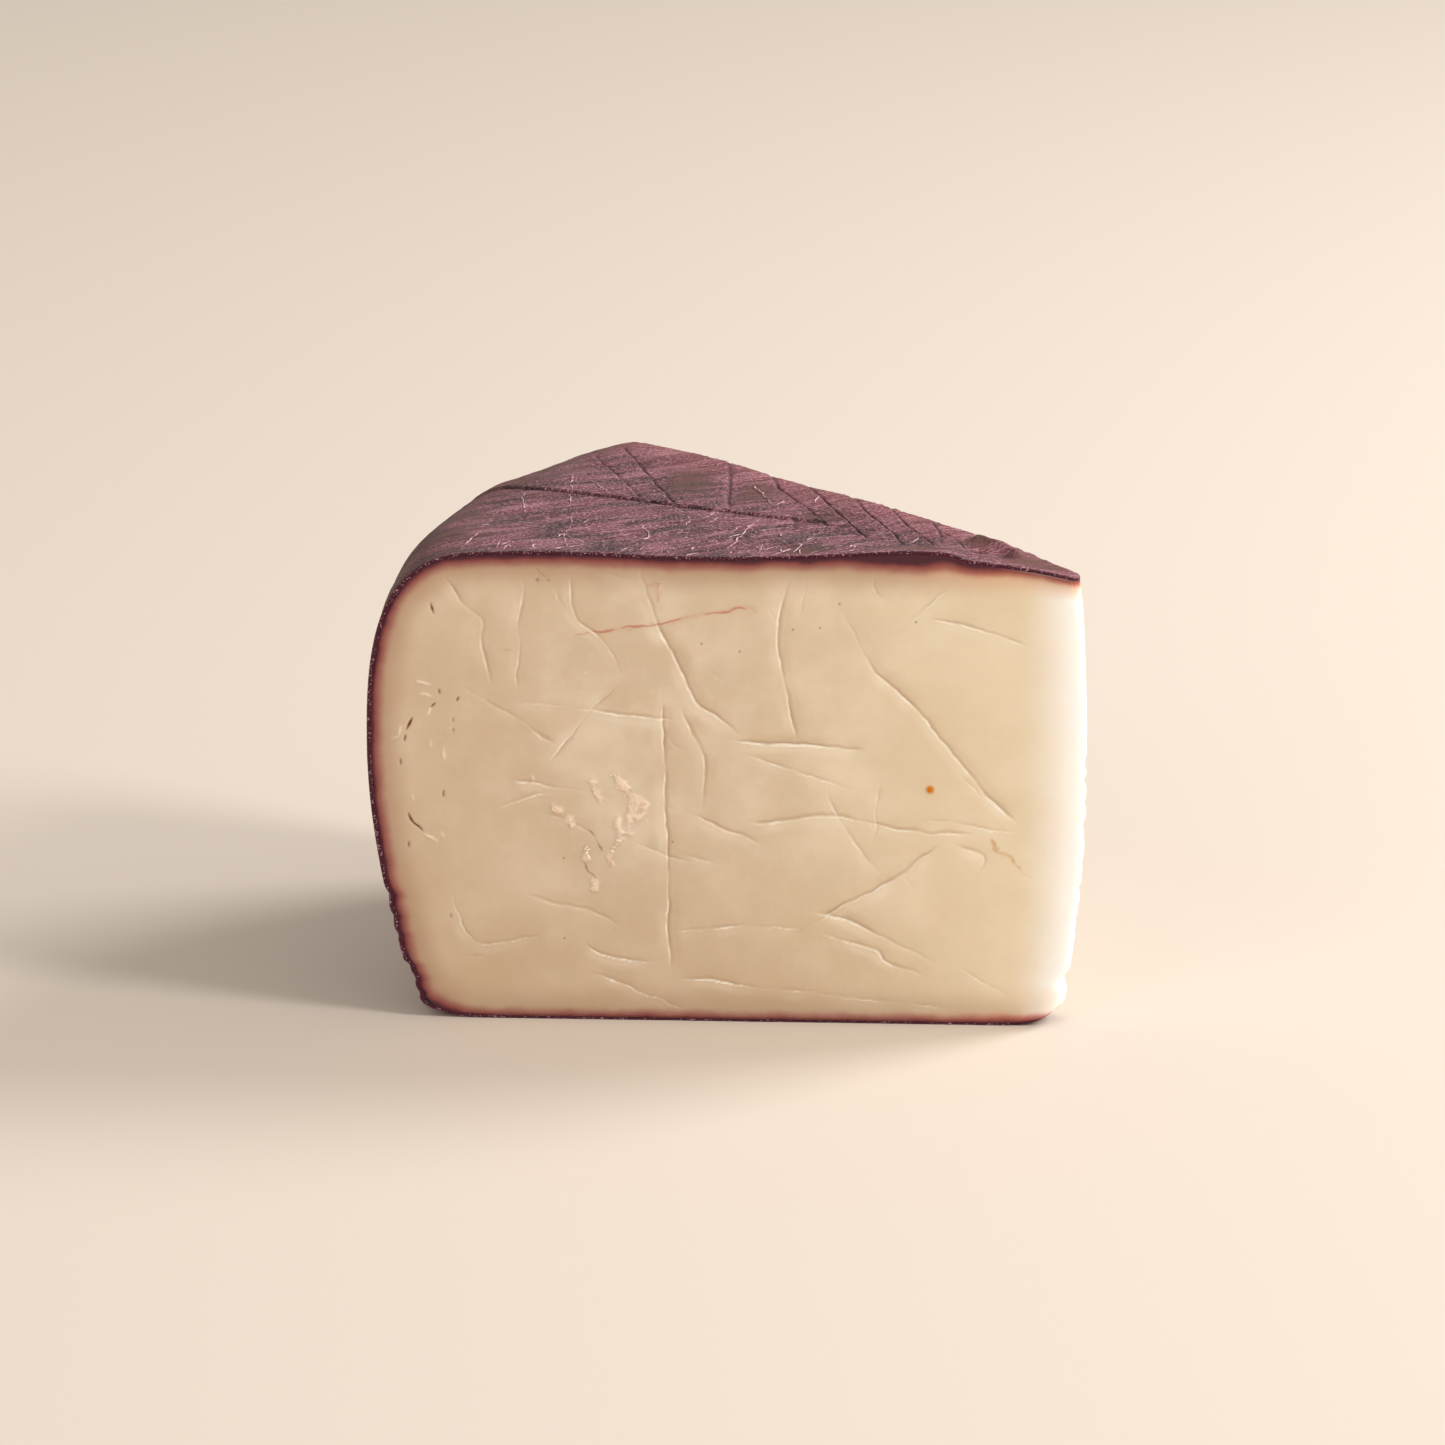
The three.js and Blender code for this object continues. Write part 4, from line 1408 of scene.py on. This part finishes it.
# %% [markdown]
# ## Where the cracks lie
#
# The long cracks follow the ridges that were read off the photograph. Beside them lie short scratches, most
# of them near the front cut, and those are drawn by seeded chance.

# %% The cracks of the rind
THREAD_RADIUS = 0.13
THREAD_TINTS = colour(176, 122, 140), colour(238, 200, 210)
SCRATCH_COUNT = 46


def thread_material():
    material, tree, shader, place = new_material("cracked rind edge")
    tint = fade(tree, texture(tree, place, 1500, 2), 0.35, 0.65)
    plug_all(tree, shader, {"Base Color": blend(tree, tint, *THREAD_TINTS), "Roughness": 0.6})
    return material


chance = np.random.default_rng(103)
scratches = []
for _ in range(SCRATCH_COUNT):
    start = np.array([chance.uniform(24, 84), chance.gamma(1.2, 4)])
    lean, length = chance.normal(-0.25, 0.5), chance.uniform(0.8, 3.2)
    bend = chance.uniform(-0.4, 0.4)
    middle = start + [lean * length / 2 + bend, length / 2]
    scratches.append([start, middle, start + [lean * length, length]])

thread_points, thread_edges, thread_widths = [], [], []
for ridge in RIDGES + scratches:
    line = smooth_line(ridge, pieces=14)
    line += 0.2 * np.column_stack([rough(line, 0.9, 91), rough(line, 0.9, 95)])
    first = len(thread_points)
    ends = np.minimum(shares_of(len(line)), shares_of(len(line))[::-1])
    thread_widths += (smooth_step(ends, 0, 0.2) * (0.5 + 0.7 * noise(line, 1.3, 97)).clip(0.08)).tolist()
    thread_points += (on_rind(line) + corner).tolist()
    thread_edges += [(step, step + 1) for step in range(first, len(thread_points) - 1)]
threads = grown(
    "rind_cracks", np.array(thread_points), thread_edges, {"width": np.array(thread_widths)},
    thread_tree(thread_material()), {"Radius": THREAD_RADIUS * MM, "Seed": 5},
)
print("the cracks have", triangles_of(threads), "triangles")

# %% [markdown]
# ## Crumbs
#
# A knife leaves crumbs: pale grains in the crumbly patch, along the foot and beside the thin end.
# Their places are drawn by seeded chance. A second node tree puts a grain on each place, turns it and
# sizes it, and dents it with noise so that no two look alike.

# %% Grains on points
FULL_TURN = 6.28


def crumb_tree(material):
    tree, given = new_tree("crumbs on points", {"Dents": "Float", "Seed": "Int"})
    points = node(tree, "GeometryNodeMeshToPoints", {"Mesh": given["Geometry"]}).outputs[0]
    grain = node(tree, "GeometryNodeMeshIcoSphere", {"Radius": 1.0, "Subdivisions": 2}).outputs[0]
    turns = {0: (0, 0, 0), 1: (FULL_TURN, FULL_TURN, FULL_TURN), "Seed": given["Seed"]}
    turn = node(tree, "FunctionNodeRandomValue", turns, data_type="FLOAT_VECTOR").outputs[0]
    squash = node(tree, "ShaderNodeCombineXYZ", {0: 1.0, 1: 0.8, 2: 0.6}).outputs[0]
    scale = vector_math(tree, "SCALE", {0: squash, "Scale": kept_number(tree, "size")})
    put = node(tree, "GeometryNodeInstanceOnPoints", {
        "Points": points, "Instance": grain, "Rotation": turn, "Scale": scale,
    }).outputs[0]
    whole = node(tree, "GeometryNodeRealizeInstances", {0: put}).outputs[0]
    place = node(tree, "GeometryNodeInputPosition", {}).outputs[0]
    settings = {"Vector": place, "Scale": 2600.0, "Detail": 2.0}
    bumps = node(tree, "ShaderNodeTexNoise", settings).outputs["Color"]
    centred = vector_math(tree, "SUBTRACT", {0: bumps, 1: (0.5, 0.5, 0.5)})
    shift = vector_math(tree, "SCALE", {0: centred, "Scale": given["Dents"]})
    dented = node(tree, "GeometryNodeSetPosition", {"Geometry": whole, "Offset": shift}).outputs[0]
    smooth = node(tree, "GeometryNodeSetShadeSmooth", {"Geometry": dented}).outputs[0]
    dressed = node(tree, "GeometryNodeSetMaterial", {"Geometry": smooth, "Material": material}).outputs[0]
    node(tree, "NodeGroupOutput", {0: dressed})
    return tree


# %% Crumbs of paste
CRUMB_SIZES = (0.07, 0.22)
CRUMB_TINTS = colour(240, 216, 190), colour(250, 234, 214)
FOOT_CRUMBS, END_CRUMBS = 34, 10
CRUMB_OFFSET = [0, 0.25, 0]
DENTS = 0.00016


def crumb_material():
    material, tree, shader, place = new_material("paste crumb")
    tint = fade(tree, texture(tree, place, 900, 2), 0.4, 0.6)
    plug_all(tree, shader, {"Base Color": blend(tree, tint, *CRUMB_TINTS), "Roughness": 0.7})
    return material


chance = np.random.default_rng(101)
in_patch = []
for line in map(smooth_line, CRUMB_LINES):
    count = int(5 + 8 * np.hypot(*np.diff(line, axis=0).T).sum())
    picked = line[chance.integers(0, len(line), count)]
    in_patch.append(picked + chance.normal(0, 0.2, (count, 2)))
at_foot = np.column_stack([chance.uniform(-34, 38, FOOT_CRUMBS), chance.uniform(0.5, 1.1, FOOT_CRUMBS)])
at_end = np.column_stack([chance.uniform(41, 43.5, END_CRUMBS), chance.uniform(4, 20, END_CRUMBS)])
crumb_spots = np.vstack([*in_patch, at_foot, at_end])
right, up = crumb_spots.T
crumb_mm = worn(np.column_stack([right - CUT_MIDDLE, np.zeros(len(right)), up])) + corner + CRUMB_OFFSET
crumb_sizes = chance.uniform(*CRUMB_SIZES, len(crumb_mm)) * MM
crumb_mm[:, 1] = np.maximum(crumb_mm[:, 1], box_low[1] + crumb_sizes / MM)
pale_crumbs = grown(
    "paste_crumbs", crumb_mm, [], {"size": crumb_sizes},
    crumb_tree(crumb_material()), {"Dents": DENTS, "Seed": 7},
)
print("the crumbs have", triangles_of(pale_crumbs), "triangles")

# %% [markdown]
# ## Handing the pieces on
#
# Each piece takes the place of the solid. It rides on the part's root, which never moves.

# %% Riding and replacing
for piece in (paste, rind, threads, pale_crumbs):
    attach(piece, "root")
    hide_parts(NODE)
    print(piece.name, "rides on the root")

# %% [markdown]
# ## Camera, floor and light
#
# The photograph was taken from a little to the right with a long lens, looking down by about sixteen
# degrees. A wide soft lamp to the right and behind makes the thin end glow and draws the folds. A
# second one, in front and to the right, grazes the cut so that every crease shows, and a weak one on
# the left fills the shadows.

# %% The camera
CAMERA_TARGET = np.array([-50.76, 27.93, 34])
CAMERA_TURN, CAMERA_RISE = math.radians(2.71), math.radians(16.21)
CAMERA_DISTANCE = 0.95
CAMERA_LENS = 171.6


def aimed(thing, place, target):
    """Puts a camera or lamp at a place and turns it towards the target."""
    thing.location = place
    thing.rotation_euler = (Vector(target) - Vector(place)).to_track_quat("-Z", "Y").to_euler()
    bpy.context.scene.collection.objects.link(thing)


camera_data = bpy.data.cameras.new("camera")
camera_data.lens = CAMERA_LENS
camera_data.sensor_width = 36
camera = bpy.data.objects.new("camera", camera_data)
back = Vector((
    math.sin(CAMERA_TURN) * math.cos(CAMERA_RISE), -math.cos(CAMERA_TURN) * math.cos(CAMERA_RISE),
    math.sin(CAMERA_RISE),
))
target = Vector((corner + CAMERA_TARGET) * MM)
aimed(camera, target + back * CAMERA_DISTANCE, target)
bpy.context.scene.camera = camera
print("the camera stands at", [round(value, 3) for value in camera.location])

# %% The floor
FLOOR = 4
floor_mesh = bpy.data.meshes.new("floor")
corners = [(-FLOOR, -FLOOR, 0), (FLOOR, -FLOOR, 0), (FLOOR, FLOOR, 0), (-FLOOR, FLOOR, 0)]
floor_mesh.from_pydata(corners, [], [(0, 1, 2, 3)])
floor = bpy.data.objects.new("floor", floor_mesh)
bpy.context.scene.collection.objects.link(floor)
floor_paint, _, floor_shader, _ = new_material("floor")
floor_shader.inputs["Base Color"].default_value = (0.67, 0.595, 0.525, 1)
floor_shader.inputs["Roughness"].default_value = 0.8
floor.data.materials.append(floor_paint)

# %% The lamps and the room
LIT_PLACE = (0, 0, 0.03)


def soft_light(name, place, size, watts, tint):
    data = bpy.data.lights.new(name, "AREA")
    data.shape = "DISK"
    data.size = size
    data.energy = watts
    data.color = tint
    aimed(bpy.data.objects.new(name, data), place, LIT_PLACE)


soft_light("window", (0.9, 0.45, 0.75), size=0.5, watts=12, tint=(1, 0.98, 0.96))
soft_light("graze", (1.0, -0.42, 0.75), size=0.35, watts=9, tint=(1, 0.96, 0.9))
soft_light("fill", (-0.8, -1.2, 0.8), size=1.2, watts=5, tint=(1, 0.95, 0.88))
world = bpy.data.worlds.new("soft room")
bpy.context.scene.world = world
world.use_nodes = True
room = world.node_tree.nodes["Background"]
room.inputs["Color"].default_value = (1, 0.93, 0.85, 1)
room.inputs["Strength"].default_value = 0.55
bpy.context.scene.view_settings.view_transform = "Standard"
